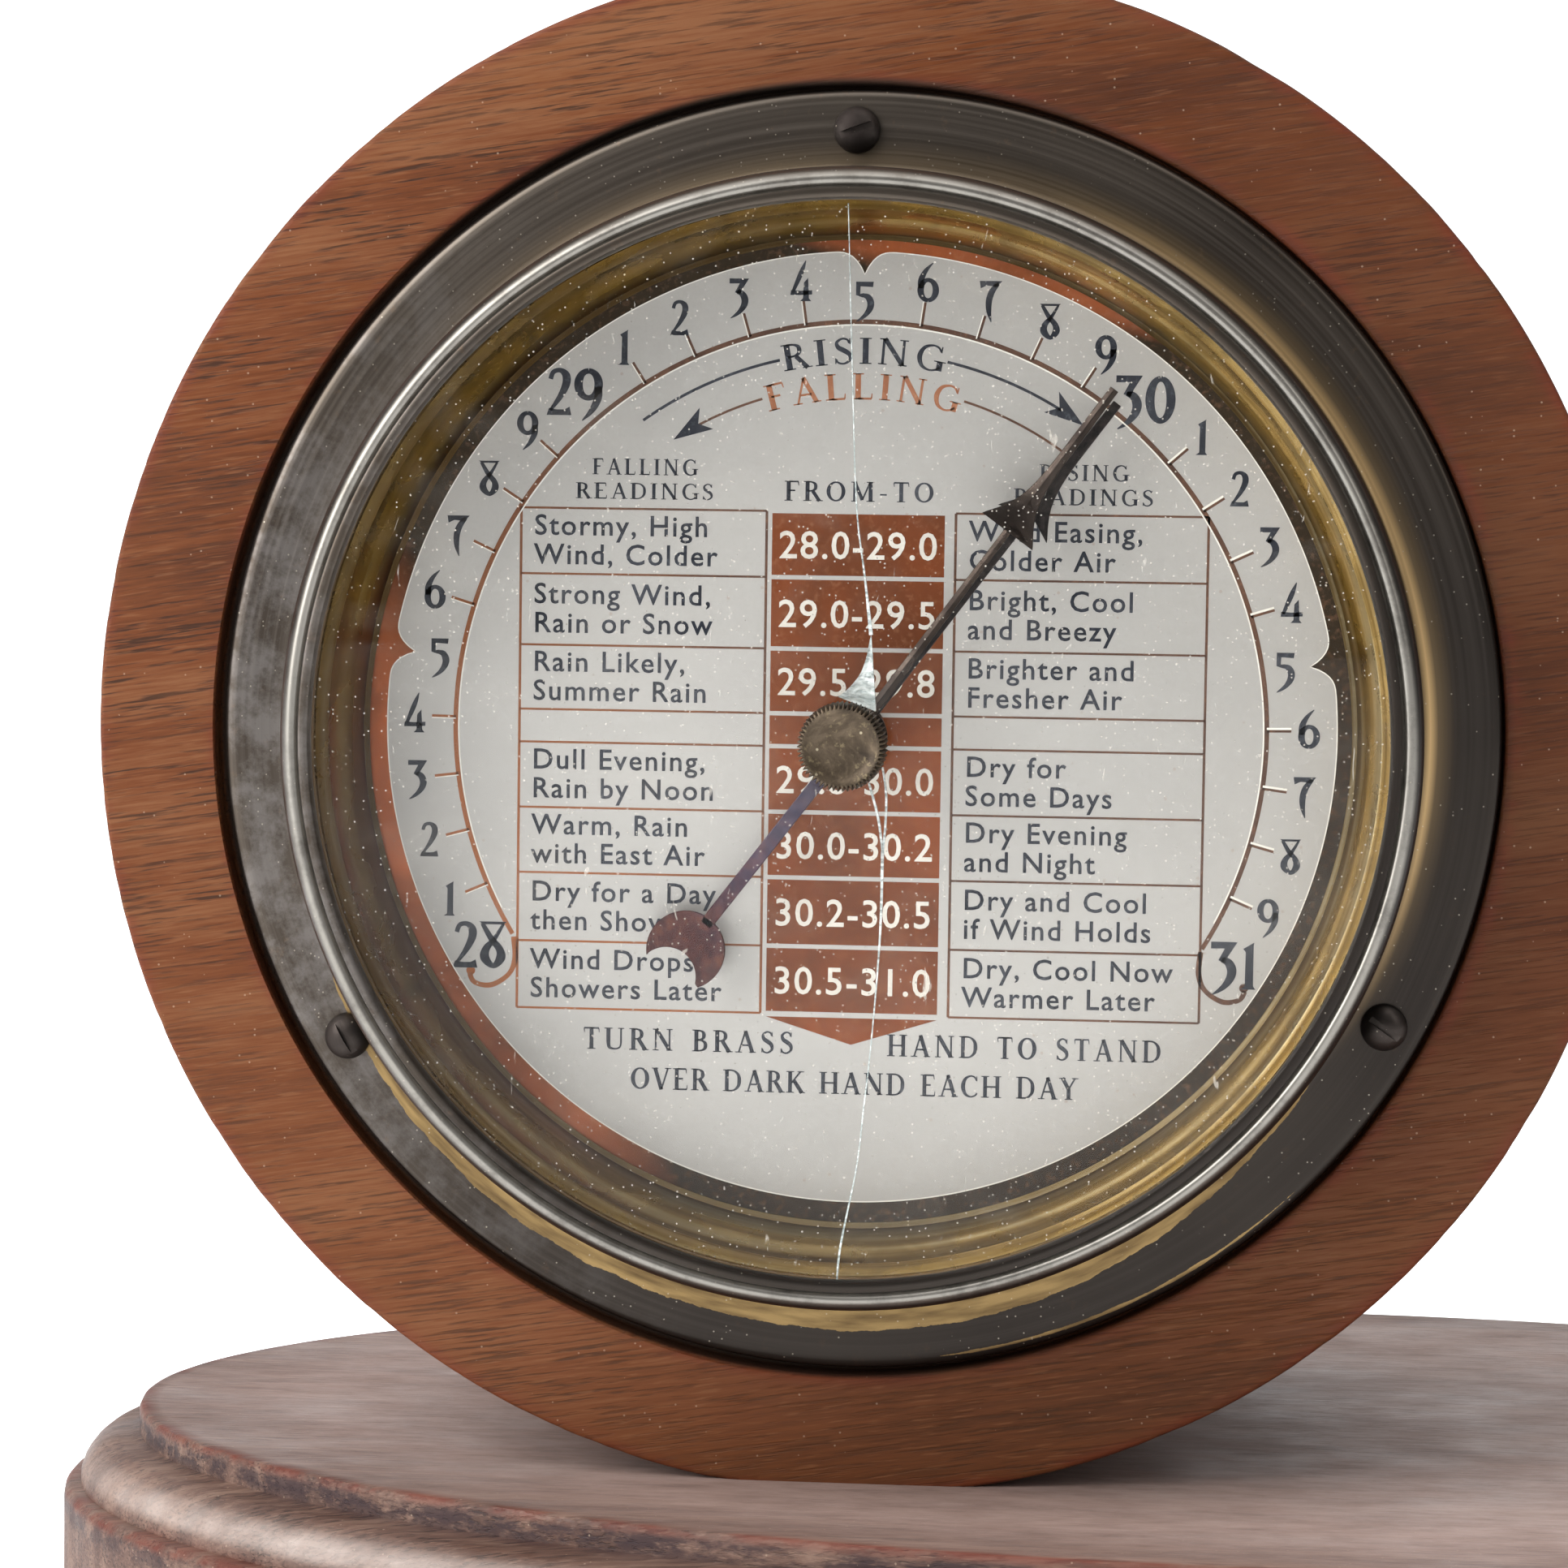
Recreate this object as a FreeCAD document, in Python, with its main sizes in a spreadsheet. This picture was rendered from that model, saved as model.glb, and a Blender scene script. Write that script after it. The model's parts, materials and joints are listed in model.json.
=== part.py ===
"""Aneroid desk barometer: a turned wooden drum on a moulded oval base.

Row frame: +Z up, the dial faces -Y, origin under the middle of the base.
Every sub-part is modelled in its own frame: "depth" runs along +Y from the
sub-part's foremost face into the case, and the Placement sets it in the row.
"""
import FreeCAD, Part
import math
import os
import Sketcher

doc = FreeCAD.newDocument("AneroidBarometer")
sheet = doc.addObject("Spreadsheet::Sheet", "Sizes")

DIMENSIONS = {
    # wooden base
    "base_half_length": 120.6, "base_half_width": 67.3, "base_height": 19.0,
    "tier_step": 7.4, "tier_drop": 7.6, "tier_fillet": 3.0, "base_chamfer": 0.8,
    "felt_thickness": 1.5, "felt_inset": 4.0,
    # wooden drum
    "drum_radius": 70.0, "drum_depth": 62.0, "drum_flat": 1.0, "drum_edge": 0.8,
    "drum_axis_x": -40.4, "drum_face_y": -33.0,
    "recess_radius": 59.3, "recess_depth": 3.0, "bore_radius": 51.0,
    "rebate_radius": 56.0, "rebate_depth": 2.0,
    "base_screw_head": 4.2, "base_screw_shank": 2.1, "base_screw_length": 34.0,
    "base_screw_offset": 17.0,
    # bezel, glass and the ring between glass and dial
    "bezel_radius": 58.15, "bezel_front": 15.2, "bezel_neck": 50.5, "bezel_bore": 49.6,
    "bezel_lip": 47.5, "bezel_skin": 1.3,
    "bezel_screw_ring": 54.5, "bezel_screw_head": 2.1, "bezel_screw_shank": 1.3,
    "glass_radius": 49.4, "glass_thickness": 2.2, "glass_hole": 2.3, "glass_front": 14.0,
    "gasket_thickness": 0.8, "surround_sheet": 0.6, "surround_foot": 45.0,
    # dial and hands
    "dial_depth": 0.5, "dial_thickness": 0.8, "dial_hole": 2.5,
    "pointer_tip": 38.1, "pointer_tail": 24.8, "pointer_angle": 37.4, "pointer_depth": -4.0,
    "crescent_radius": 3.6, "hand_boss": 3.0, "pointer_barbs": 24.9, "set_hand_barbs": 23.7,
    "barb_half": 2.8, "blade_half": 0.42, "shaft_half": 0.36,
    "set_hand_tip": 38.9, "set_hand_angle": 36.1, "set_hand_depth": -8.6,
    "hand_thickness": 0.6, "knob_radius": 3.87, "knob_height": 5.2, "knob_front": 19.7,
    "spindle_radius": 1.3,
    # movement can and what it is fastened with
    "can_radius": 50.6, "can_wall": 1.0, "can_flange": 57.0, "can_floor": 45.2,
    "post_ring": 44.0, "post_radius": 2.2, "small_screw_head": 2.2, "small_screw_shank": 1.2,
    "plate_radius": 34.0, "plate_thickness": 2.0, "plate_screw_ring": 30.0,
    # vacuum capsule and main spring
    "capsule_radius": 22.5, "capsule_front": 32.0, "capsule_boss": 4.0, "capsule_stud": 2.0,
    "post_front": 22.5, "capsule_post": 2.4, "capsule_pin": 0.78,
    "stand_left": -31.5, "stand_width": 6.5, "stand_half_height": 9.0,
    "spring_front": 25.2, "spring_thickness": 1.2, "spring_tip": 9.0,
    # levers, chain and arbor
    "lever_pivot_x": -24.0, "lever_tip_x": 24.8, "lever_pin_depth": 33.2, "lever_width": 4.0,
    "rocker_x": 28.0, "rocker_depth": 24.0, "rocker_shaft": 1.0, "link_arm_reach": 3.2,
    "chain_arm_reach": 12.0, "winding_radius": 1.1, "arbor_radius": 0.9,
    "running_clearance": 0.05, "link_clearance": 0.15, "tight_fit": 0.02, "hole_play": 0.1,
    "bridge_depth": 16.0, "bridge_thickness": 1.6, "bridge_pillar_z": 29.0,
    "cock_depth": 6.5, "cock_thickness": 1.2, "cock_pillar_z": 12.5,
    "hairspring_stud_z": 8.7,
    # back of the case
    "cover_thickness": 1.2, "cover_screw_ring": 53.5, "adjuster_x": -28.3,
}
for row, (alias, value) in enumerate(DIMENSIONS.items(), start=1):
    sheet.set(f"A{row}", alias.replace("_", " "))
    sheet.set(f"B{row}", str(value))
    sheet.setAlias(f"B{row}", alias)
doc.recompute()


class Size:
    """A length that knows its value and the spreadsheet expression behind it."""

    def __init__(self, value, text):
        self.value = value
        self.text = text

    def __add__(self, other):
        other = as_size(other)
        return Size(self.value + other.value, f"{self.text} + ({other.text})")

    def __sub__(self, other):
        other = as_size(other)
        return Size(self.value - other.value, f"{self.text} - ({other.text})")

    def __rsub__(self, other):
        return as_size(other) - self

    def __neg__(self):
        return Size(-self.value, f"-({self.text})")

    def __mul__(self, factor):
        return Size(self.value * factor, f"({self.text}) * {factor}")


def as_size(number):
    return number if isinstance(number, Size) else Size(float(number), repr(float(number)))


def dim(alias):
    return Size(DIMENSIONS[alias], f"Sizes.{alias}")


PLANES = {"XY": "XY_Plane", "XZ": "XZ_Plane"}
ORIGIN_POINT, H_AXIS, V_AXIS = -1, -1, -2
ALL_PIECES = []


class Piece:
    """A PartDesign body whose sketches and features read the spreadsheet."""

    def __init__(self, label):
        self.body = doc.addObject("PartDesign::Body", label)
        self.body.Label = label
        self.count = 0
        ALL_PIECES.append(self.body)

    def name(self, kind):
        self.count += 1
        return f"{self.body.Name}_{kind}{self.count}"

    def sketch(self, plane, shift):
        """A sketch on one of the body's own origin planes, moved by shift (x, y, normal)."""
        sketch = self.body.newObject("Sketcher::SketchObject", self.name("sketch"))
        features = self.body.Origin.OriginFeatures
        support = next(item for item in features if item.Role == PLANES[plane])
        sketch.AttachmentSupport = [(support, "")]
        sketch.MapMode = "FlatFace"
        for axis, amount in zip("xyz", shift):
            amount = as_size(amount)
            if amount.value:
                sketch.setExpression(f"AttachmentOffset.Base.{axis}", amount.text)
        return sketch

    def outline(self, plane, points, shift=(0, 0, 0)):
        """A closed sketch of straight sides through points, each tied to the sheet."""
        sketch = self.sketch(plane, shift)
        corners = [(as_size(across), as_size(along)) for across, along in points]
        vectors = [FreeCAD.Vector(across.value, along.value, 0) for across, along in corners]
        for index, start in enumerate(vectors):
            sketch.addGeometry(Part.LineSegment(start, vectors[(index + 1) % len(vectors)]))
        for index in range(len(corners)):
            following = (index + 1) % len(corners)
            sketch.addConstraint(Sketcher.Constraint("Coincident", index, 2, following, 1))
        for index, (across, along) in enumerate(corners):
            for kind, axis, size in (("DistanceX", V_AXIS, across), ("DistanceY", H_AXIS, along)):
                self.fix(sketch, index, kind, axis, size)
        return sketch

    def fix(self, sketch, index, kind, axis, size):
        if abs(size.value) < 1e-9:
            sketch.addConstraint(Sketcher.Constraint("PointOnObject", index, 1, axis))
            return
        constraint = Sketcher.Constraint(kind, ORIGIN_POINT, 1, index, 1, size.value)
        number = sketch.addConstraint(constraint)
        sketch.setExpression(f"Constraints[{number}]", size.text)

    def circle(self, plane, centre, radius, normal=0):
        sketch = self.sketch(plane, (centre[0], centre[1], normal))
        radius = as_size(radius)
        sketch.addGeometry(Part.Circle(FreeCAD.Vector(), FreeCAD.Vector(0, 0, 1), radius.value))
        sketch.addConstraint(Sketcher.Constraint("Coincident", 0, 3, ORIGIN_POINT, 1))
        number = sketch.addConstraint(Sketcher.Constraint("Radius", 0, radius.value))
        sketch.setExpression(f"Constraints[{number}]", radius.text)
        return sketch

    def turn(self, points, at=(0, 0)):
        """Revolve (radius, depth) points about the depth axis standing at (x, z)."""
        sketch = self.outline("XY", points, (at[0], 0, at[1]))
        feature = self.body.newObject("PartDesign::Revolution", self.name("turn"))
        feature.Profile = sketch
        feature.ReferenceAxis = (sketch, ["V_Axis"])
        feature.Angle = 360
        return self

    def bore(self, points, at=(0, 0)):
        """Cut the revolved (radius, depth) outline away."""
        sketch = self.outline("XY", points, (at[0], 0, at[1]))
        feature = self.body.newObject("PartDesign::Groove", self.name("bore"))
        feature.Profile = sketch
        feature.ReferenceAxis = (sketch, ["V_Axis"])
        feature.Angle = 360
        return self

    def drill(self, at, radius, start, length):
        """A round hole along the depth, from start, at (x, z)."""
        start = as_size(start)
        return self.bore([(0, start), (radius, start), (radius, start + length),
                          (0, start + length)], at)

    def plate(self, points, thickness, depth=0):
        """A flat plate across the depth, its (x, z) outline starting at depth."""
        sketch = self.outline("XZ", points, (0, 0, -as_size(depth)))
        return self.extrude("PartDesign::Pad", sketch, thickness, True)

    def disc(self, at, radius, thickness, depth=0):
        sketch = self.circle("XZ", at, radius, -as_size(depth))
        return self.extrude("PartDesign::Pad", sketch, thickness, True)

    def slice(self, points, thickness, height=0):
        """A flat plate seen from above, its (x, depth) outline starting at height."""
        return self.extrude("PartDesign::Pad", self.outline("XY", points, (0, 0, height)),
                            thickness, False)

    def cut_up(self, sketch, length):
        """Remove a sketch on the XY plane upwards."""
        return self.extrude("PartDesign::Pocket", sketch, length, True)

    def cut_back(self, sketch, length):
        """Remove a sketch on the XZ plane towards the back."""
        return self.extrude("PartDesign::Pocket", sketch, length, False)

    def extrude(self, kind, sketch, length, reverse):
        feature = self.body.newObject(kind, self.name(kind.split("::")[1].lower()))
        feature.Profile = sketch
        feature.Reversed = reverse
        length = as_size(length)
        feature.Length = length.value
        feature.setExpression("Length", length.text)
        return self

    def place(self, depth=0, rotation=None):
        """Stand the piece on the drum's axis, its front at depth behind the drum's face."""
        set_on_axis(self.body, depth, rotation)
        return self.body


drum_axis_z = (dim("felt_thickness") + dim("base_height") + dim("drum_radius")
               - dim("drum_flat"))
AXIS_DOWN_TO_UP = FreeCAD.Rotation(FreeCAD.Vector(1, 0, 0), 90)
drum_middle_y = dim("drum_face_y") + dim("drum_depth") * 0.5


def turned_to(alias):
    """A hand's rotation about the drum's axis, clockwise as the dial is read."""
    return FreeCAD.Rotation(FreeCAD.Vector(0, 1, 0), DIMENSIONS[alias])


def bind_place(item, x, y, z, rotation=None):
    item.Placement = FreeCAD.Placement(FreeCAD.Vector(), rotation or FreeCAD.Rotation())
    for axis, size in zip("xyz", (x, y, z)):
        item.setExpression(f"Placement.Base.{axis}", as_size(size).text)


def set_on_axis(item, depth, rotation=None):
    bind_place(item, dim("drum_axis_x"), dim("drum_face_y") + depth, drum_axis_z, rotation)


def around(radius_alias, angles):
    """Points (x, z) on a circle, angles clockwise from the top of the dial."""
    radius = dim(radius_alias)
    return [(radius * math.sin(math.radians(angle)), radius * math.cos(math.radians(angle)))
            for angle in angles]


BEZEL_SCREW_ANGLES = (-0.7, 117.9, 238.4)
POST_ANGLES = (60, 180, 300)
MOVEMENT_SCREW_ANGLES = (45, 135, 225, 315)
COVER_SCREW_ANGLES = (30, 150, 270)


def screw(label, places, head_radius, head_height, shank_radius, length, head_back=False):
    """Identical pan-head screws as one group; the head is in front, or at the back."""
    head, shank, high, long = map(as_size, (head_radius, shank_radius, head_height, length))
    if head_back:
        profile = [(0, 0), (shank, 0), (shank, long), (head, long), (head, long + high * 0.6),
                   (head * 0.8, long + high), (0, long + high)]
    else:
        profile = [(0, 0), (head * 0.8, 0), (head, high * 0.4), (head, high), (shank, high),
                   (shank, high + long), (0, high + long)]
    group = Piece(label)
    for place in places:
        group.turn(profile, place)
    return group


def rod(label, places, radius, length):
    """Identical plain round pins or pillars as one group."""
    group = Piece(label)
    for place in places:
        group.turn([(0, 0), (radius, 0), (radius, length), (0, length)], place)
    return group


# ---------------------------------------------------------------- wooden base

def base_section(label, inset, height):
    """One horizontal ellipse of the base moulding, inset from the lower tier's side."""
    ellipse = doc.addObject("Part::Ellipse", label)
    for radius, half in (("MajorRadius", "base_half_length"), ("MinorRadius", "base_half_width")):
        size = dim(half) - inset
        setattr(ellipse, radius, size.value)
        ellipse.setExpression(radius, size.text)
    ellipse.setExpression("Placement.Base.z", as_size(height).text)
    return ellipse


def base_moulding_sections():
    """Lower tier, a hollow cove, a short fillet and the flat top."""
    under = dim("felt_thickness")
    top = under + dim("base_height")
    ledge = top - dim("tier_drop")
    step, fillet, edge = dim("tier_step"), dim("tier_fillet"), dim("base_chamfer")
    cove_height = dim("tier_drop") - fillet
    sections = [(edge, under), (0, under + edge), (0, ledge - edge * 1.5),
                (edge * 0.4, ledge - edge * 0.5), (edge * 1.5, ledge)]
    cove_run = step - edge * 1.5
    for degrees in (22.5, 45.0, 67.5, 90.0):
        across = 1 - math.cos(math.radians(90 - degrees))
        up = 1 - math.cos(math.radians(degrees))
        sections.append((edge * 1.5 + cove_run * (1 - across), ledge + cove_height * up))
    sections.append((step, top - edge * 0.6))
    sections.append((step + edge * 0.6, top))
    return [base_section(f"base_ring{number}", inset, height)
            for number, (inset, height) in enumerate(sections)]


def upright_hole(label, y_offset, radius, low, high, low_radius=None):
    """A hole, or a countersink, up through the base below the drum."""
    kind = "Part::Cone" if low_radius else "Part::Cylinder"
    tool = doc.addObject(kind, label)
    names = {"Radius1": low_radius, "Radius2": radius} if low_radius else {"Radius": radius}
    for name, size in names.items():
        tool.setExpression(name, as_size(size).text)
    tool.setExpression("Height", (as_size(high) - low).text)
    bind_place(tool, dim("drum_axis_x"), drum_middle_y + y_offset, low)
    return tool


def make_base():
    loft = doc.addObject("Part::Loft", "base_moulding")
    loft.Sections = base_moulding_sections()
    loft.Solid = True
    loft.Ruled = True
    under = dim("felt_thickness")
    through = dim("felt_thickness") + dim("base_height") + 1
    countersink = dim("base_screw_head") - dim("base_screw_shank")
    tools = []
    for side, sign in (("front", -1), ("back", 1)):
        offset = dim("base_screw_offset") * sign
        shank, head = dim("base_screw_shank") + dim("hole_play"), dim("base_screw_head") + dim("hole_play")
        tools.append(upright_hole(f"base_hole_{side}", offset, shank, under - 1, through))
        tools.append(upright_hole(f"base_sink_{side}", offset, shank, under,
                                  under + countersink, head))
    holes = doc.addObject("Part::MultiFuse", "base_holes")
    holes.Shapes = tools
    base = doc.addObject("Part::Cut", "base_board")
    base.Base = loft
    base.Tool = holes
    ALL_PIECES.append(base)


def make_felt():
    felt_face = base_section("felt_outline", dim("felt_inset"), 0)
    felt = doc.addObject("Part::Extrusion", "base_felt")
    felt.Base = felt_face
    felt.Dir = FreeCAD.Vector(0, 0, 1)
    felt.Solid = True
    felt.setExpression("LengthFwd", dim("felt_thickness").text)
    ALL_PIECES.append(felt)


def make_base_screws():
    """Two countersunk wood screws up through the base into the drum."""
    head, shank = dim("base_screw_head"), dim("base_screw_shank")
    long = dim("base_screw_length")
    screws = Piece("base_screws")
    for sign in (-1, 1):
        screws.turn([(0, 0), (head, 0), (shank, head - shank), (shank, long - 3), (0, long)],
                    (0, dim("base_screw_offset") * sign))
    bind_place(screws.body, dim("drum_axis_x"), drum_middle_y, dim("felt_thickness"),
               AXIS_DOWN_TO_UP)


# ---------------------------------------------------------------- wooden drum

def make_drum():
    outer, deep, edge = dim("drum_radius"), dim("drum_depth"), dim("drum_edge")
    recess, rebate = dim("recess_depth"), dim("rebate_depth")
    drum = Piece("drum_case")
    drum.turn([(dim("recess_radius"), 0), (outer - edge, 0), (outer, edge),
               (outer, deep - edge), (outer - edge, deep), (dim("rebate_radius"), deep),
               (dim("rebate_radius"), deep - rebate), (dim("bore_radius"), deep - rebate),
               (dim("bore_radius"), recess), (dim("recess_radius"), recess)])
    for place in around("bezel_screw_ring", BEZEL_SCREW_ANGLES):
        drum.drill(place, dim("bezel_screw_shank") + dim("tight_fit"), recess, 11)
    for place in around("cover_screw_ring", COVER_SCREW_ANGLES):
        drum.drill(place, dim("small_screw_shank") + dim("tight_fit"), deep - rebate - 9, 9)
    flat = drum.outline("XZ", [(-20, -outer - 2), (20, -outer - 2), (20, dim("drum_flat") - outer),
                               (-20, dim("drum_flat") - outer)], (0, 0, 1))
    drum.cut_back(flat, deep + 2)
    for sign in (-1, 1):
        pilot = drum.circle("XY", (0, dim("drum_depth") * 0.5 + dim("base_screw_offset") * sign),
                            dim("base_screw_shank") + dim("tight_fit"), -outer - 1)
        drum.cut_up(pilot, dim("base_screw_length") - dim("base_height") + dim("drum_flat") + 1.5)
    drum.place()


# ---------------------------------------------------------------- bezel and glass

def make_bezel():
    """Spun brass: rolled outer edge, screw flange, tall neck, and a lip over the glass."""
    rim, neck, bore, lip = dim("bezel_radius"), dim("bezel_neck"), dim("bezel_bore"), dim("bezel_lip")
    front, skin = dim("bezel_front"), dim("bezel_skin")
    glass_seat = front - dim("glass_front")
    flange_back = front + dim("recess_depth") - 0.9
    bezel = Piece("bezel")
    bezel.turn([(lip, glass_seat), (lip, 0.5), (lip + 0.4, 0.1), (lip + 0.9, 0), (lip + 1.4, 0.4),
                (neck - 1.1, 1.0), (neck - 0.5, 1.2), (neck, 2.0), (neck + 0.1, front - 3.6),
                (neck + 0.5, front - 1.9), (neck + 1.5, front - 1.0), (neck + 3.2, front - 0.7),
                (rim - 1.5, front - 0.6), (rim - 0.6, front - 0.2), (rim, front + 0.5),
                (rim, flange_back), (rim - 1.0, flange_back), (rim - 1.0, front + 1.0),
                (rim - 2.2, front + skin - 0.6), (neck + 2.0, front + skin - 0.7),
                (neck + 0.3, front + 0.2), (bore, front - 1.0), (bore, glass_seat)])
    for place in around("bezel_screw_ring", BEZEL_SCREW_ANGLES):
        bezel.drill(place, dim("bezel_screw_shank") + dim("hole_play"), front - 2, 5)
    bezel.place(-front)


def make_bezel_screws():
    """Round-head wood screws: a domed head over the flange and a pointed shank."""
    head, shank = dim("bezel_screw_head"), dim("bezel_screw_shank")
    screws = Piece("bezel_screws")
    for place in around("bezel_screw_ring", BEZEL_SCREW_ANGLES):
        screws.turn([(0, 0), (head * 0.5, 0.2), (head * 0.85, 0.7), (head, 1.5), (shank, 1.5),
                     (shank, 12.5), (0, 14.5)], place)
    screws.place(-2.5)


def make_glass():
    radius, hole, thick = dim("glass_radius"), dim("glass_hole"), dim("glass_thickness")
    glass = Piece("glass")
    glass.turn([(hole, 0), (radius, 0), (radius, thick), (hole, thick)])
    glass.place(-dim("glass_front"))

    gasket = Piece("glass_gasket")
    thick_ring = dim("gasket_thickness")
    gasket.turn([(dim("bezel_lip") + 0.4, 0), (radius, 0), (radius, thick_ring),
                 (dim("bezel_lip") + 0.4, thick_ring)])
    gasket.place(thick - dim("glass_front"))


def make_dial_surround():
    """Polished brass cone from the glass down to the dial's edge."""
    start = dim("glass_thickness") + dim("gasket_thickness") - dim("glass_front")
    length = dim("dial_depth") - start
    radius, sheet_gauge = dim("glass_radius"), dim("surround_sheet")
    mouth, foot = dim("bezel_lip") + 0.2, dim("surround_foot")
    surround = Piece("dial_surround")
    surround.turn([(mouth, 0), (radius, 0), (radius, sheet_gauge), (mouth + sheet_gauge, sheet_gauge),
                   (foot + sheet_gauge, length - sheet_gauge), (radius, length - sheet_gauge),
                   (radius, length), (foot, length)])
    surround.place(start)


def make_glass_bush():
    """Brass eyelet that lines the glass's centre hole."""
    bore, body, flange = dim("spindle_radius") + dim("running_clearance"), 2.2, 3.2
    thick = dim("glass_thickness")
    bush = Piece("glass_bush")
    bush.turn([(bore, 0), (flange, 0), (flange, 0.5), (body, 0.5), (body, thick + 0.5),
               (bore, thick + 0.5)])
    bush.place(-dim("glass_front") - 0.5)


# ---------------------------------------------------------------- dial and hands

def make_dial():
    radius, thick = dim("glass_radius"), dim("dial_thickness")
    dial = Piece("dial_plate")
    dial.turn([(dim("dial_hole"), 0), (radius, 0), (radius, thick), (dim("dial_hole"), thick)])
    dial.place(dim("dial_depth"))

    back = dim("dial_depth") + thick
    length = dim("can_floor") - back
    posts = rod("dial_posts", around("post_ring", POST_ANGLES), dim("post_radius"), length)
    for place in around("post_ring", POST_ANGLES):
        posts.drill(place, dim("small_screw_shank") + dim("tight_fit"), length - 6.5, 6.5)
    posts.place(back)

    screws = screw("dial_post_screws", around("post_ring", POST_ANGLES), dim("small_screw_head"),
                   1.2, dim("small_screw_shank"), dim("can_wall") + 6, head_back=True)
    screws.place(dim("can_floor") - 6)


def hand_blade(hand, tip, barbs):
    """Slim shaft, a swept-back barb two thirds of the way out, and a blunt blade."""
    shaft, barb, blade = dim("shaft_half"), dim("barb_half"), dim("blade_half")
    half = [(blade * 1.5, 0), (shaft, barbs + 0.5), (barb, barbs - 0.5), (blade * 3.4, barbs + 1.4),
            (blade * 1.9, barbs + 3.2), (blade, barbs + 7.0), (blade, tip)]
    hand.plate([(-across, along) for across, along in half] + half[::-1], dim("hand_thickness"))


def make_pointer():
    """Steel pointer: blade, boss and a tail that ends in a crescent counterweight."""
    tail, horn = dim("pointer_tail"), dim("crescent_radius")
    pointer = Piece("pointer")
    hand_blade(pointer, dim("pointer_tip"), dim("pointer_barbs"))
    pointer.disc((0, 0), dim("hand_boss"), dim("hand_thickness"))
    pointer.plate([(-0.7, 0), (-0.7, 1.5 - tail), (0.7, 1.5 - tail), (0.7, 0)],
                  dim("hand_thickness"))
    pointer.disc((0, -tail), horn, dim("hand_thickness"))
    bite = pointer.circle("XZ", (0, -tail - horn * 0.83), horn * 0.75, 1)
    pointer.cut_back(bite, 3)
    pointer.disc((0, 0), 2.0, dim("hand_thickness") + 0.9)
    pointer.drill((0, 0), dim("arbor_radius"), -1, 4)
    pointer.place(dim("pointer_depth"), turned_to("pointer_angle"))


def make_set_hand():
    """Brass set hand: a plain blade riveted to the knob's spindle."""
    hand = Piece("set_hand")
    hand_blade(hand, dim("set_hand_tip"), dim("set_hand_barbs"))
    hand.disc((0, 0), dim("hand_boss"), dim("hand_thickness"))
    hand.drill((0, 0), dim("spindle_radius"), -1, 3)
    hand.place(dim("set_hand_depth"), turned_to("set_hand_angle"))

    knob_depth = -dim("knob_front")
    spindle_start = knob_depth + 1.5
    spindle = rod("set_spindle", [(0, 0)], dim("spindle_radius"),
                  dim("set_hand_depth") + dim("hand_thickness") - spindle_start)
    spindle.place(spindle_start)

    radius, high = dim("knob_radius"), dim("knob_height")
    knob = Piece("set_knob")
    knob.turn([(0, 0.5), (radius - 1.1, 0.5), (radius - 0.8, 0), (radius - 0.3, 0),
               (radius, 0.3), (radius, high - 0.4), (radius - 0.4, high), (0, high)])
    knob.drill((0, 0), dim("spindle_radius"), 1.5, high)
    knob.place(knob_depth)

    washer = Piece("set_washer")
    washer.turn([(dim("spindle_radius") + 0.05, 0), (2.9, 0), (2.9, 0.5),
                 (dim("spindle_radius") + 0.05, 0.5)])
    washer.place(dim("glass_thickness") - dim("glass_front") + 0.3)


# ---------------------------------------------------------------- case of the movement

def make_can():
    """Drawn brass can: a flange in the drum's recess, a wall and a flat floor."""
    flange_front = dim("recess_depth") - 0.8
    radius, wall = dim("can_radius"), dim("can_wall")
    floor = dim("can_floor") - flange_front
    can = Piece("movement_can")
    can.turn([(radius - wall, 0), (dim("can_flange"), 0), (dim("can_flange"), 0.8), (radius, 0.8),
              (radius, floor + wall), (0, floor + wall), (0, floor), (radius - wall, floor)])
    for place in around("bezel_screw_ring", BEZEL_SCREW_ANGLES):
        can.drill(place, dim("bezel_screw_shank") + dim("hole_play"), -1, 3)
    for place in (around("post_ring", POST_ANGLES)
                  + around("plate_screw_ring", MOVEMENT_SCREW_ANGLES)):
        can.drill(place, dim("small_screw_shank") + dim("hole_play"), floor - 1, 3)
    can.drill((dim("adjuster_x"), 0), 1.55, floor - 1, 3)
    can.drill((0, -38), 1.5, floor - 1, 3)
    can.place(flange_front)


def make_movement_plate():
    radius, thick = dim("plate_radius"), dim("plate_thickness")
    plate = Piece("movement_plate")
    plate.turn([(dim("capsule_stud") + dim("tight_fit"), 0), (radius, 0), (radius, thick),
                (dim("capsule_stud") + dim("tight_fit"), thick)])
    for place in around("plate_screw_ring", MOVEMENT_SCREW_ANGLES):
        plate.drill(place, dim("small_screw_shank") + dim("tight_fit"), 0.4, thick)
    for sign in (-1, 1):
        stand_x = dim("stand_left") + dim("stand_width") * 0.5
        plate.bore([(0, -1), (1.22, -1), (1.22, 0.7), (2.42, thick), (2.42, thick + 0.5),
                    (0, thick + 0.5)], (stand_x, 6.5 * sign))
        plate.drill((0, dim("bridge_pillar_z") * sign), 1.52, -1, 4)
        plate.drill((dim("rocker_x"), 7 * sign), 1.12, -0.5, 2.3)
    plate.drill((dim("adjuster_x"), 0), 1.55, -1, 4)
    plate.place(dim("can_floor") - thick)

    screws = screw("movement_screws", around("plate_screw_ring", MOVEMENT_SCREW_ANGLES),
                   dim("small_screw_head"), 1.2, dim("small_screw_shank"), 2.4, head_back=True)
    screws.place(dim("can_floor") + dim("can_wall") - 2.4)


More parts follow.
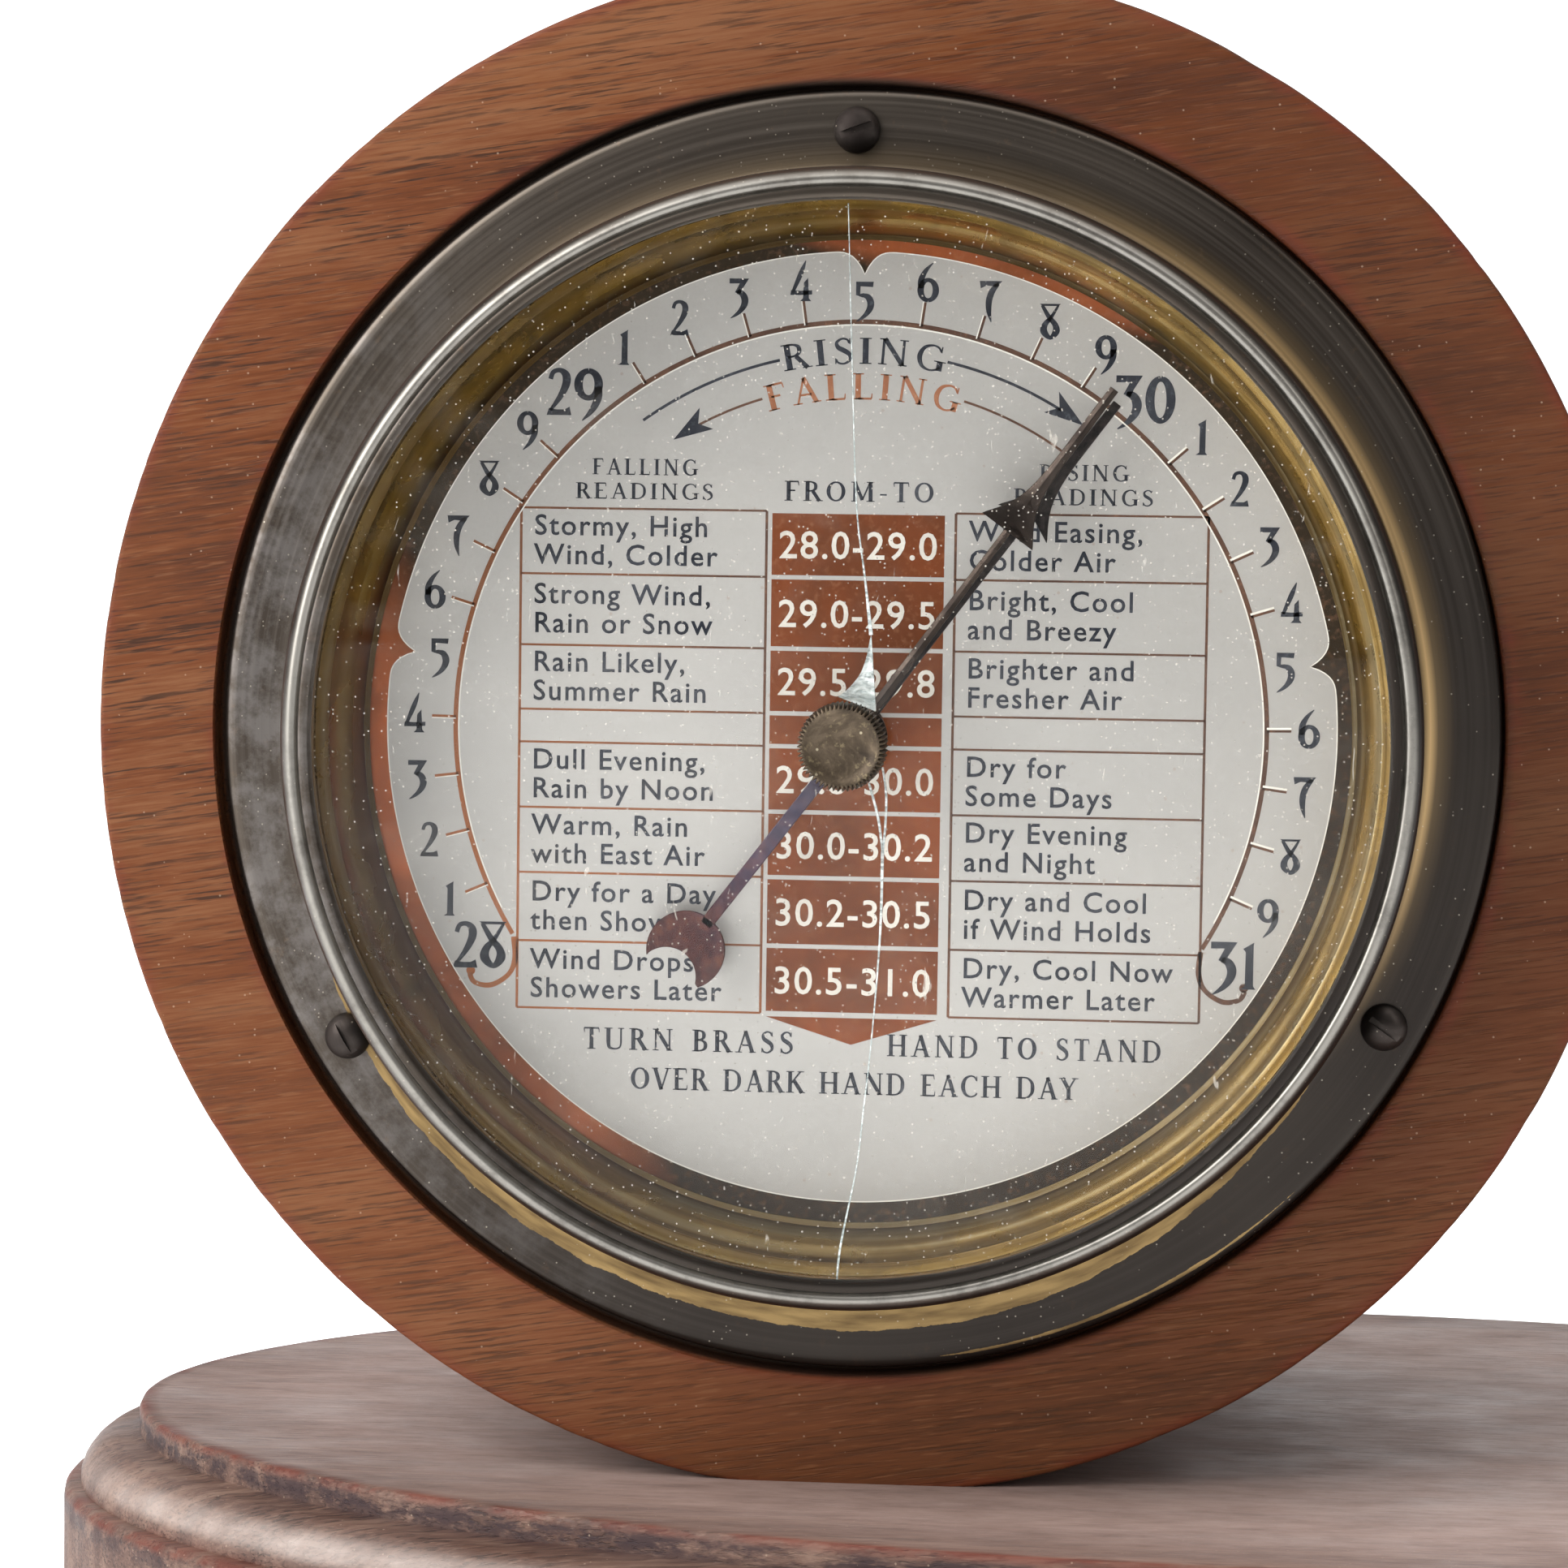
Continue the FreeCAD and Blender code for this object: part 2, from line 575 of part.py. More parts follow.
def make_adjuster():
    """Slotted zero screw, reached through the back cover."""
    adjuster = screw("zero_screw", [(0, 0)], 2.6, 1.8, 1.5, 3.6, head_back=True)
    bind_place(adjuster.body, dim("drum_axis_x") + dim("adjuster_x"),
               dim("drum_face_y") + dim("can_floor") - dim("plate_thickness") + 0.05, drum_axis_z)


# ---------------------------------------------------------------- capsule and spring

def make_capsule():
    """Sealed corrugated capsule with a front boss and a rear stud."""
    rim, boss, stud = dim("capsule_radius"), dim("capsule_boss"), dim("capsule_stud")
    seat = dim("can_floor") - dim("plate_thickness") - dim("capsule_front")
    total = dim("can_floor") - dim("capsule_front")
    waves = 5
    pitch = (DIMENSIONS["capsule_radius"] - DIMENSIONS["capsule_boss"] - 4.5) / (2 * waves)
    front_wave, back_wave = [], []
    for number in range(2 * waves):
        radius = boss + 1.5 + pitch * number
        swell = 0.35 if number % 2 else -0.35
        front_wave.append((radius, seat * 0.25 + swell))
        back_wave.append((radius, seat * 0.84 - swell))
    capsule = Piece("vacuum_capsule")
    capsule.turn([(0, 0), (boss, 0), (boss, seat * 0.22)] + front_wave
                 + [(rim - 1.2, seat * 0.34), (rim, seat * 0.5), (rim, seat * 0.6),
                    (rim - 1.2, seat * 0.76)] + back_wave[::-1]
                 + [(boss, seat * 0.87), (boss, seat), (stud, seat), (stud, total), (0, total)])
    capsule.place(dim("capsule_front"))

    length = dim("capsule_front") - dim("post_front")
    pin_depth = dim("spring_front") - dim("capsule_pin")
    post = rod("capsule_post", [(0, 0)], dim("capsule_post"), length)
    cross = post.circle("XY", (0, pin_depth - dim("post_front")), dim("capsule_pin") + 0.01, -4)
    post.cut_up(cross, 8)
    post.place(dim("post_front"))

    pin = Piece("capsule_pin")
    pin.extrude("PartDesign::Pad", pin.circle("XY", (0, 0), dim("capsule_pin"), -5), 10, False)
    pin.place(pin_depth)


def make_spring():
    """Cast stand, leaf spring clamped on it, and the clamp with its screws."""
    left, wide, half = dim("stand_left"), dim("stand_width"), dim("stand_half_height")
    front, thick = dim("spring_front"), dim("spring_thickness")
    right = left + wide
    seat = dim("can_floor") - dim("plate_thickness")
    middle_x = left + wide * 0.5
    clamp = 1.5

    stand = Piece("spring_stand")
    stand.plate([(left, -half), (right, -half), (right, half), (left, half)],
                seat - front - thick)
    for sign in (-1, 1):
        stand.drill((middle_x, 4.2 * sign), dim("small_screw_shank") + dim("tight_fit"), -1, 8)
        stand.drill((middle_x, 6.5 * sign), 1.22, seat - front - thick - 7, 8)
    stand.place(front + thick)

    leaf = Piece("main_spring")
    leaf.plate([(left, -half + 1), (right + 2, -half + 1), (dim("spring_tip"), -5),
                (dim("spring_tip"), 5), (right + 2, half - 1), (left, half - 1)], thick)
    leaf.drill((0, 0), dim("capsule_post") + 0.5, -1, 4)
    for sign in (-1, 1):
        leaf.drill((middle_x, 4.2 * sign), dim("small_screw_shank") + dim("hole_play"), -1, 4)
    leaf.place(front)

    bar = Piece("spring_clamp")
    bar.plate([(left, -half + 1), (right - 0.5, -half + 1), (right - 0.5, half - 1),
               (left, half - 1)], clamp)
    for sign in (-1, 1):
        bar.drill((middle_x, 4.2 * sign), dim("small_screw_shank") + dim("hole_play"), -1, 4)
    bar.place(front - clamp)

    clamp_screws = screw("spring_clamp_screws", [(middle_x, 4.2 * sign) for sign in (-1, 1)],
                         dim("small_screw_head"), 1.3, dim("small_screw_shank"), 8)
    clamp_screws.place(front - clamp - 1.3)

    stand_screws = Piece("stand_screws")
    for sign in (-1, 1):
        stand_screws.turn([(0, 0), (1.2, 0), (1.2, 6.7), (2.4, 8.0), (0, 8.0)],
                          (middle_x, 6.5 * sign))
    stand_screws.place(dim("can_floor") - 8.0)


# ---------------------------------------------------------------- levers and chain

def make_main_lever():
    """Bent lever fixed to the spring's free end; its tip carries the link."""
    front, half = dim("spring_front"), dim("lever_width") * 0.5
    tip = dim("lever_tip_x")
    thick = 1.2
    lever = Piece("main_lever")
    lever.slice([(4, 0), (tip + 1, 0), (tip + 1, dim("lever_pin_depth") - front + thick + 1.2),
                 (tip - 1, dim("lever_pin_depth") - front + thick + 1.2), (tip - 1, thick),
                 (4, thick)], dim("lever_width"), -half)
    hole = lever.circle("XY", (tip, dim("lever_pin_depth") - front + thick), 0.55, -half - 1)
    lever.cut_up(hole, dim("lever_width") + 2)
    lever.place(front - thick)

    pin = Piece("lever_pin")
    pin.extrude("PartDesign::Pad", pin.circle("XY", (0, 0), 0.54, -half - 0.3), half * 2 + 1.7,
                False)
    bind_place(pin.body, dim("drum_axis_x") + tip, dim("drum_face_y") + dim("lever_pin_depth"),
               drum_axis_z)


def make_link():
    """Flat link between the main lever's tip and the rocking shaft's short arm."""
    length = dim("lever_pin_depth") - dim("rocker_depth")
    link = Piece("connecting_link")
    link.slice([(-1.1, -1.2), (1.1, -1.2), (1.1, length + 1.2), (-1.1, length + 1.2)], 0.8, 2.3)
    for along, radius in ((0, 0.5 + DIMENSIONS["link_clearance"]), (length, 0.6)):
        link.cut_up(link.circle("XY", (0, along), radius, 1), 3)
    bind_place(link.body, dim("drum_axis_x") + dim("lever_tip_x"),
               dim("drum_face_y") + dim("rocker_depth"), drum_axis_z)


def make_rocker():
    """Transverse shaft with its short link arm and its long chain arm."""
    shaft_radius, reach = dim("rocker_shaft"), dim("link_arm_reach")
    place = (dim("drum_axis_x") + dim("rocker_x"), dim("drum_face_y") + dim("rocker_depth"),
             drum_axis_z)
    shaft = Piece("rocking_shaft")
    shaft.extrude("PartDesign::Pad", shaft.circle("XY", (0, 0), shaft_radius, -13), 26, False)
    bind_place(shaft.body, *place)

    arm = Piece("link_arm")
    arm.extrude("PartDesign::Pad", arm.circle("XY", (0, 0), 2.0, 3.4), 1.4, False)
    arm.slice([(-reach - 1.0, -1.0), (0, -1.4), (0, 1.4), (-reach - 1.0, 1.0)], 1.4, 3.4)
    arm.cut_up(arm.circle("XY", (0, 0), shaft_radius, 3), 3)
    arm.extrude("PartDesign::Pad", arm.circle("XY", (-reach, 0), 0.5, 2.2), 1.5, False)
    bind_place(arm.body, *place)

    chain_arm = Piece("chain_arm")
    chain_arm.extrude("PartDesign::Pad", chain_arm.circle("XY", (0, 0), 2.0, -1.8), 1.4, False)
    long = dim("chain_arm_reach")
    chain_arm.slice([(-1.1, 0), (-0.6, -long - 0.8), (0.6, -long - 0.8), (1.1, 0)], 1.4, -1.8)
    chain_arm.cut_up(chain_arm.circle("XY", (0, 0), shaft_radius, -3), 4)
    bind_place(chain_arm.body, *place)


def make_rocker_bracket():
    """U-shaped bracket whose two ears carry the rocking shaft."""
    seat = dim("can_floor") - dim("plate_thickness")
    front = dim("rocker_depth") - 2.5
    deep = seat - front
    bracket = Piece("rocker_bracket")
    bracket.slice([(-3, deep - 1.5), (3, deep - 1.5), (3, deep), (-3, deep)], 25, -12.5)
    for low in (-12.5, 10.9):
        bracket.slice([(-2.4, 0), (2.4, 0), (3, deep), (-3, deep)], 1.6, low)
    bearing = bracket.circle("XY", (0, 2.5), dim("rocker_shaft") + dim("running_clearance"), -13)
    bracket.cut_up(bearing, 26)
    for sign in (-1, 1):
        bracket.drill((0, 7 * sign), 1.2, deep - 3, 5)
    bind_place(bracket.body, dim("drum_axis_x") + dim("rocker_x"), dim("drum_face_y") + front,
               drum_axis_z)

    screws = screw("bracket_screws", [(0, 7), (0, -7)], 2.2, 1.3, 1.1, 3.0)
    bind_place(screws.body, dim("drum_axis_x") + dim("rocker_x"),
               dim("drum_face_y") + seat - 1.5 - 1.3, drum_axis_z)


def make_chain():
    """Fine chain from the arbor's winding barrel to the chain arm, as one flat strand."""
    wind = dim("winding_radius")
    chain = Piece("chain")
    chain.slice([(0, -0.3), (dim("rocker_x") - 0.7, -0.3), (dim("rocker_x") - 0.7, 0.3),
                 (0, 0.3)], 0.4, -wind - 0.4)
    chain.place(dim("rocker_depth") - dim("chain_arm_reach"))


def make_arbor():
    """Pointer arbor with its winding barrel and hairspring collet."""
    front = dim("pointer_depth") - 0.5
    staff, wind = dim("arbor_radius"), dim("winding_radius")
    barrel = dim("rocker_depth") - dim("chain_arm_reach") - front
    back = dim("bridge_depth") + dim("bridge_thickness") - front + 1.2
    arbor = Piece("pointer_arbor")
    arbor.turn([(0, 0), (staff, 0), (staff, barrel - 3.1), (1.9, barrel - 3.1),
                (1.9, barrel - 1.7), (1.9, barrel - 1.2), (wind, barrel - 0.9),
                (wind, barrel + 0.9), (1.9, barrel + 1.2), (1.9, barrel + 1.6),
                (staff, barrel + 1.6), (staff, back), (0, back)])
    arbor.place(front)


def bearing_strip(label, half_width, half_height, thickness, depth, pillar_z, pillar_hole):
    """Upright strip with the arbor's bearing in its middle and two screw holes."""
    strip = Piece(label)
    strip.plate([(-half_width, -half_height), (half_width, -half_height),
                 (half_width, half_height), (-half_width, half_height)], thickness)
    strip.drill((0, 0), dim("arbor_radius") + dim("running_clearance"), -1, 5)
    for sign in (-1, 1):
        strip.drill((0, pillar_z * sign), pillar_hole, -1, 5)
    strip.place(depth)
    return strip


def make_bridge():
    """Rear bearing bridge on two tall pillars from the movement plate."""
    depth, thick, pillar = dim("bridge_depth"), dim("bridge_thickness"), dim("bridge_pillar_z")
    back = depth + thick
    seat = dim("can_floor") - dim("plate_thickness") - back
    bridge = bearing_strip("arbor_bridge", 6, 32.5, thick, depth, pillar, 1.3)
    for sign in (-1, 1):
        bridge.drill((0, dim("cock_pillar_z") * sign), 1.02, -1, 5)
    bridge.drill((0, dim("hairspring_stud_z")), 0.71, -1, 5)
    pillars = Piece("bridge_pillars")
    for sign in (-1, 1):
        place = (0, pillar * sign)
        pillars.turn([(0, 5.5), (1.22, 5.5), (1.22, 0), (2.6, 0), (2.6, seat), (1.5, seat),
                      (1.5, seat + dim("plate_thickness")),
                      (0, seat + dim("plate_thickness"))], place)
    pillars.place(back)
    screws = screw("bridge_screws", [(0, pillar), (0, -pillar)], dim("small_screw_head"), 1.4,
                   dim("small_screw_shank"), thick + 5.2)
    screws.place(depth - 1.4)


def make_cock():
    """Front bearing cock on two short pillars from the bridge."""
    depth, thick, pillar = dim("cock_depth"), dim("cock_thickness"), dim("cock_pillar_z")
    bearing_strip("arbor_cock", 4, 15.0, thick, depth, pillar, 1.1)
    length = dim("bridge_depth") - depth - thick
    pillars = Piece("cock_pillars")
    for sign in (-1, 1):
        pillars.turn([(0, 4), (1.02, 4), (1.02, 0), (1.9, 0), (1.9, length), (1.0, length),
                      (1.0, length + dim("bridge_thickness")),
                      (0, length + dim("bridge_thickness"))], (0, pillar * sign))
    pillars.place(depth + thick)
    screws = screw("cock_screws", [(0, pillar), (0, -pillar)], 1.9, 1.2, 1.0, thick + 3.8)
    screws.place(depth - 1.2)


def make_hairspring():
    """Flat spiral of half circles from the collet out to the stud."""
    gauge, height = 0.18, 0.7
    turns, start, end = 5, 2.0, DIMENSIONS["hairspring_stud_z"] - 0.72 - gauge
    halves = 2 * turns + 1
    growth = (end - start) / halves
    edges_in, edges_out = [], []
    for half in range(halves):
        sign = -1 if half % 2 else 1
        radius = start + growth * half + growth * 0.5
        centre = FreeCAD.Vector(0, 0, sign * growth * 0.5)
        for edges, reach in ((edges_in, radius), (edges_out, radius + gauge)):
            low = centre + FreeCAD.Vector(0, 0, -sign * reach)
            side = centre + FreeCAD.Vector(sign * reach, 0, 0)
            high = centre + FreeCAD.Vector(0, 0, sign * reach)
            edges.append(Part.Arc(low, side, high).toShape())
    start_cap = Part.LineSegment(edges_in[0].Vertexes[0].Point,
                                 edges_out[0].Vertexes[0].Point).toShape()
    end_cap = Part.LineSegment(edges_in[-1].Vertexes[-1].Point,
                               edges_out[-1].Vertexes[-1].Point).toShape()
    ribbon = Part.Wire(Part.__sortEdges__([start_cap] + edges_out + [end_cap] + edges_in))
    spring = doc.addObject("Part::Feature", "hairspring")
    spring.Shape = Part.Face(ribbon).extrude(FreeCAD.Vector(0, height, 0))
    set_on_axis(spring, dim("rocker_depth") - dim("chain_arm_reach") - 2.75)
    ALL_PIECES.append(spring)

    stud_front = dim("rocker_depth") - dim("chain_arm_reach") - 3.2
    stud = rod("hairspring_stud", [(0, dim("hairspring_stud_z"))], 0.7,
               dim("bridge_depth") + dim("bridge_thickness") - stud_front)
    stud.place(stud_front)


# ---------------------------------------------------------------- back cover

def make_back_cover():
    radius, thick = dim("rebate_radius") - 0.2, dim("cover_thickness")
    cover = Piece("back_cover")
    cover.turn([(0, 0), (radius, 0), (radius, thick - 0.3), (radius - 0.3, thick), (0, thick)])
    for place in around("cover_screw_ring", COVER_SCREW_ANGLES):
        cover.drill(place, dim("small_screw_shank") + dim("hole_play"), -1, 4)
    cover.drill((dim("adjuster_x"), 0), 3.5, -1, 4)
    for angle in range(0, 360, 45):
        cover.drill((10 * math.sin(math.radians(angle)), 10 * math.cos(math.radians(angle))),
                    1.5, -1, 4)
    cover.place(dim("drum_depth") - dim("rebate_depth"))

    screws = screw("back_cover_screws", around("cover_screw_ring", COVER_SCREW_ANGLES),
                   dim("small_screw_head"), 1.3, dim("small_screw_shank"), 9, head_back=True)
    screws.place(dim("drum_depth") - dim("rebate_depth") + thick - 9)


for make in (make_base, make_felt, make_base_screws, make_drum, make_bezel, make_bezel_screws,
             make_glass, make_dial_surround, make_glass_bush, make_dial, make_pointer,
             make_set_hand, make_can, make_movement_plate, make_adjuster, make_capsule,
             make_spring, make_main_lever, make_link, make_rocker, make_rocker_bracket,
             make_chain, make_arbor, make_bridge, make_cock, make_hairspring, make_back_cover):
    make()
doc.recompute()

broken = [item.Name for item in doc.Objects if {"Invalid", "Error"} & set(item.State)]
broken += [piece.Label for piece in ALL_PIECES
           if piece.Shape.isNull() or not piece.Shape.isValid()]
if broken:
    raise SystemExit(f"failed features: {sorted(set(broken))}")

os.makedirs("parts", exist_ok=True)
for piece in ALL_PIECES:
    piece.Shape.exportStep(f"parts/{piece.Label}.step")
    print(piece.Label, len(piece.Shape.Solids), round(piece.Shape.Volume, 2))
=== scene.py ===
import json
import math

import bmesh
import bpy
from mathutils import Matrix, Vector, noise


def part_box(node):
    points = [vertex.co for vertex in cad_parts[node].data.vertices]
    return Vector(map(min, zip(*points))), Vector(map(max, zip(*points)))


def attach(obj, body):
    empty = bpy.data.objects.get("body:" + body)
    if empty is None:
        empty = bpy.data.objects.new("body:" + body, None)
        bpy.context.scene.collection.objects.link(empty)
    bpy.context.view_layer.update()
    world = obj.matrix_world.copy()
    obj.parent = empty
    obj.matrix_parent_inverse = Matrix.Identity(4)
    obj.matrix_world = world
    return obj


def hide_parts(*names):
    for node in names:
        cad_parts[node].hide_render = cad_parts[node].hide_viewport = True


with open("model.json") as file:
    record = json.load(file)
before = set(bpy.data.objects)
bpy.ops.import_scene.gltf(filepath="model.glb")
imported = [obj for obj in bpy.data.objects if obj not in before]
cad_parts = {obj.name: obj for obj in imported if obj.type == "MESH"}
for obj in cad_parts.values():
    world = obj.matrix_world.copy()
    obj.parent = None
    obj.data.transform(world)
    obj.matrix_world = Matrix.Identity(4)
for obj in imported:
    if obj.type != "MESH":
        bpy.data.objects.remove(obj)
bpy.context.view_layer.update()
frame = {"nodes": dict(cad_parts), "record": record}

# Shapes are drawn in millimetres in the dial's own frame: u to the right, w into the case from
# the drum's front face, v up, all from the drum's axis. CENTRE is that frame's origin.
MM = 0.001
case_low, case_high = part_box("drum_case")
DRUM_RADIUS = (case_high[0] - case_low[0]) / 2 / MM
CENTRE = Vector(((case_low[0] + case_high[0]) / 2, case_low[1], case_high[2] - DRUM_RADIUS * MM))


def round_size(node):
    """Radius, front and back of a node that is round about the drum's axis."""
    low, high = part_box(node)
    return (high[0] - low[0]) / 2 / MM, (low[1] - CENTRE.y) / MM, (high[1] - CENTRE.y) / MM


DRUM_DEPTH = round_size("drum_case")[2]
DRUM_FLAT = (case_low[2] - CENTRE.z) / MM
BEZEL_RADIUS, BEZEL_FRONT, BEZEL_BACK = round_size("bezel")
GLASS_RADIUS, GLASS_FRONT, GLASS_BACK = round_size("glass")
DIAL_FRONT = round_size("dial_plate")[1]
KNOB_RADIUS, KNOB_FRONT, KNOB_BACK = round_size("set_knob")
SURROUND_FRONT, SURROUND_BACK = round_size("dial_surround")[1:]
RECESS_RADIUS = BEZEL_RADIUS + 0.7    # the drum's recess, a little wider than the bezel
BEZEL_LIP = 47.5
DIAL_EDGE = 45.0
SILVER_RADIUS = 43.35
SCALE_RADIUS = 37.0
SCALE_ENDS = 121.5    # degrees from the top to each end of the scale
PRINT_SHIFT = Vector((0.12, 0, 0.41))    # the print sits a little off the drum's axis
STEPS = 384    # stations in one turn of a lathed shape


# ------------------------------------------------------------------ mesh helpers

def mix(a, b, share):
    return a + (b - a) * share


def ease(value, start, end):
    """0 before start, 1 after end, smooth between them."""
    t = min(1.0, max(0.0, (value - start) / (end - start)))
    return t * t * (3 - 2 * t)


def clock(angle, radius):
    """Point on the dial at an angle clockwise from the top, in degrees."""
    turn = math.radians(angle)
    return radius * math.sin(turn), radius * math.cos(turn)


def turned(points, angle, move=(0, 0), size=1.0):
    """Points scaled, turned clockwise by an angle in degrees, then moved."""
    cos, sin = math.cos(math.radians(angle)), math.sin(math.radians(angle))
    return [(move[0] + size * (x * cos + y * sin), move[1] + size * (y * cos - x * sin))
            for x, y in points]


def spline(points, steps=8):
    """Smooth run through the points, which may have any number of values each."""
    if len(points) < 3:
        return [tuple(p) for p in points]
    ends = [points[0]] + list(points) + [points[-1]]
    run = []
    for a, b, c, d in zip(ends, ends[1:], ends[2:], ends[3:]):
        for step in range(steps):
            t = step / steps
            run.append(tuple(
                0.5 * (2 * q + (r - p) * t + (2 * p - 5 * q + 4 * r - s) * t * t
                       + (3 * q - p - 3 * r + s) * t ** 3)
                for p, q, r, s in zip(a, b, c, d)))
    run.append(tuple(points[-1]))
    return run


def rounded(outline, radius, steps=4):
    """A closed outline with its corners rounded."""
    out = []
    for before, corner, after in zip(outline[-1:] + outline, outline, outline[1:] + outline[:1]):
        here = Vector(corner)
        to, away = Vector(before) - here, Vector(after) - here
        reach = min(radius, to.length * 0.45, away.length * 0.45)
        start, end = here + to.normalized() * reach, here + away.normalized() * reach
        for step in range(steps + 1):
            t = step / steps
            out.append(tuple(start * (1 - t) ** 2 + here * 2 * t * (1 - t) + end * t * t))
    return out


def oblong(left, foot, right, top):
    return [(left, foot), (right, foot), (right, top), (left, top)]


def disc(radius, count):
    return [clock(360 * i / count, radius) for i in range(count)]


def new_object(name, data):
    made = bpy.data.objects.new(name, data)
    bpy.context.scene.collection.objects.link(made)
    return made


def new_mesh(name, points, faces):
    """A mesh from points in the dial's frame."""
    mesh = bpy.data.meshes.new(name)
    mesh.from_pydata([CENTRE + Vector(p) * MM for p in points], [], faces)
    return mesh


def shaped_mesh(thing):
    """A new mesh of the thing as its modifiers or its lettering make it."""
    return bpy.data.meshes.new_from_object(
        thing.evaluated_get(bpy.context.evaluated_depsgraph_get()))


def shade(mesh, sharp):
    """Smooth shading, split at edges sharper than an angle in degrees."""
    mesh.shade_smooth()
    mesh.set_sharp_from_angle(angle=math.radians(sharp))


def piece(name, shape, slot, instead_of=(), sharp=32, body="case", material=None):
    """A mesh piece of the object, from (points, faces) in the dial's frame."""
    mesh = new_mesh(name, *shape)
    work = bmesh.new()
    work.from_mesh(mesh)
    bmesh.ops.remove_doubles(work, verts=work.verts, dist=1e-7)
    bmesh.ops.recalc_face_normals(work, faces=work.faces)
    work.to_mesh(mesh)
    work.free()
    shade(mesh, sharp)
    mesh.materials.append(material or materials[slot])
    made = new_object(name, mesh)
    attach(made, body)
    if instead_of:
        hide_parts(*instead_of)
    return made


def band(here, there, count):
    """Faces between two closed rows of count points, which start at here and there."""
    pairs = [(i, (i + 1) % count) for i in range(count)]
    return [(here + i, here + j, there + j, there + i) for i, j in pairs]


def wrapped(steps, count):
    """Faces round a full turn of closed rows, count points each."""
    return [face for step in range(steps)
            for face in band(step * count, (step + 1) % steps * count, count)]


def lathe(profile, steps=STEPS, wobble=None):
    """Closed ring from a closed profile of (radius, depth) points."""
    points = []
    for step in range(steps):
        turn = math.tau * step / steps
        for radius, depth in profile:
            if wobble:
                radius = wobble(radius, depth, turn)
            points.append((radius * math.sin(turn), depth, radius * math.cos(turn)))
    return points, wrapped(steps, len(profile))


def add_prism(points, faces, outline, front, back):
    """Adds a flat closed shape to the lists."""
    base, count = len(points), len(outline)
    points += [(x, front, y) for x, y in outline] + [(x, back, y) for x, y in outline]
    faces.append(tuple(range(base, base + count)))
    faces.append(tuple(range(base + 2 * count - 1, base + count - 1, -1)))
    faces += band(base, base + count, count)


def add_ribbon(points, faces, run, front, back, closed=False):
    """Adds a stroke along (x, y, half width) stations to the lists."""
    base, last = len(points), len(run) - 1
    for i, (x, y, half) in enumerate(run):
        before = run[i - 1] if i or closed else run[0]
        after = run[(i + 1) % len(run)] if i < last or closed else run[last]
        along = Vector((after[0] - before[0], after[1] - before[1])).normalized()
        side = Vector((-along.y, along.x)) * half
        left, right = (x + side.x, y + side.y), (x - side.x, y - side.y)
        points += [(left[0], front, left[1]), (right[0], front, right[1]),
                   (right[0], back, right[1]), (left[0], back, left[1])]
    for i in range(last + 1 if closed else last):
        faces += band(base + 4 * i, base + 4 * ((i + 1) % (last + 1)), 4)
    if not closed:
        end = base + 4 * last
        faces.append((base + 3, base + 2, base + 1, base))
        faces.append((end, end + 1, end + 2, end + 3))


def soften(thing, width, segments=2, angle=30):
    """Rounds the sharp edges of a piece."""
    bevel = thing.modifiers.new("soft_edges", "BEVEL")
    bevel.width = width * MM
    bevel.segments = segments
    bevel.limit_method = "ANGLE"
    bevel.angle_limit = math.radians(angle)
    bevel.harden_normals = False
    return thing


def mark(thing, **rules):
    """Stores rule(u, w, v) at every vertex under the rule's name, for the material to read."""
    for name, rule in rules.items():
        layer = thing.data.attributes.new(name, "FLOAT", "POINT")
        for vertex, entry in zip(thing.data.vertices, layer.data):
            entry.value = rule(*((vertex.co - CENTRE) / MM))


# ------------------------------------------------------------------ material helpers

def srgb(red, green, blue):
    """Linear colour from the 0 to 255 values that a screen shows."""
    return tuple((c / 255 / 12.92) if c < 10.3 else ((c / 255 + 0.055) / 1.055) ** 2.4
                 for c in (red, green, blue))


def rgba(colour):
    """Four values for a socket, from a grey, a screen's three values or four linear ones."""
    if not isinstance(colour, tuple):
        return (colour, colour, colour, 1.0)
    return colour if len(colour) == 4 else (*srgb(*colour), 1.0)


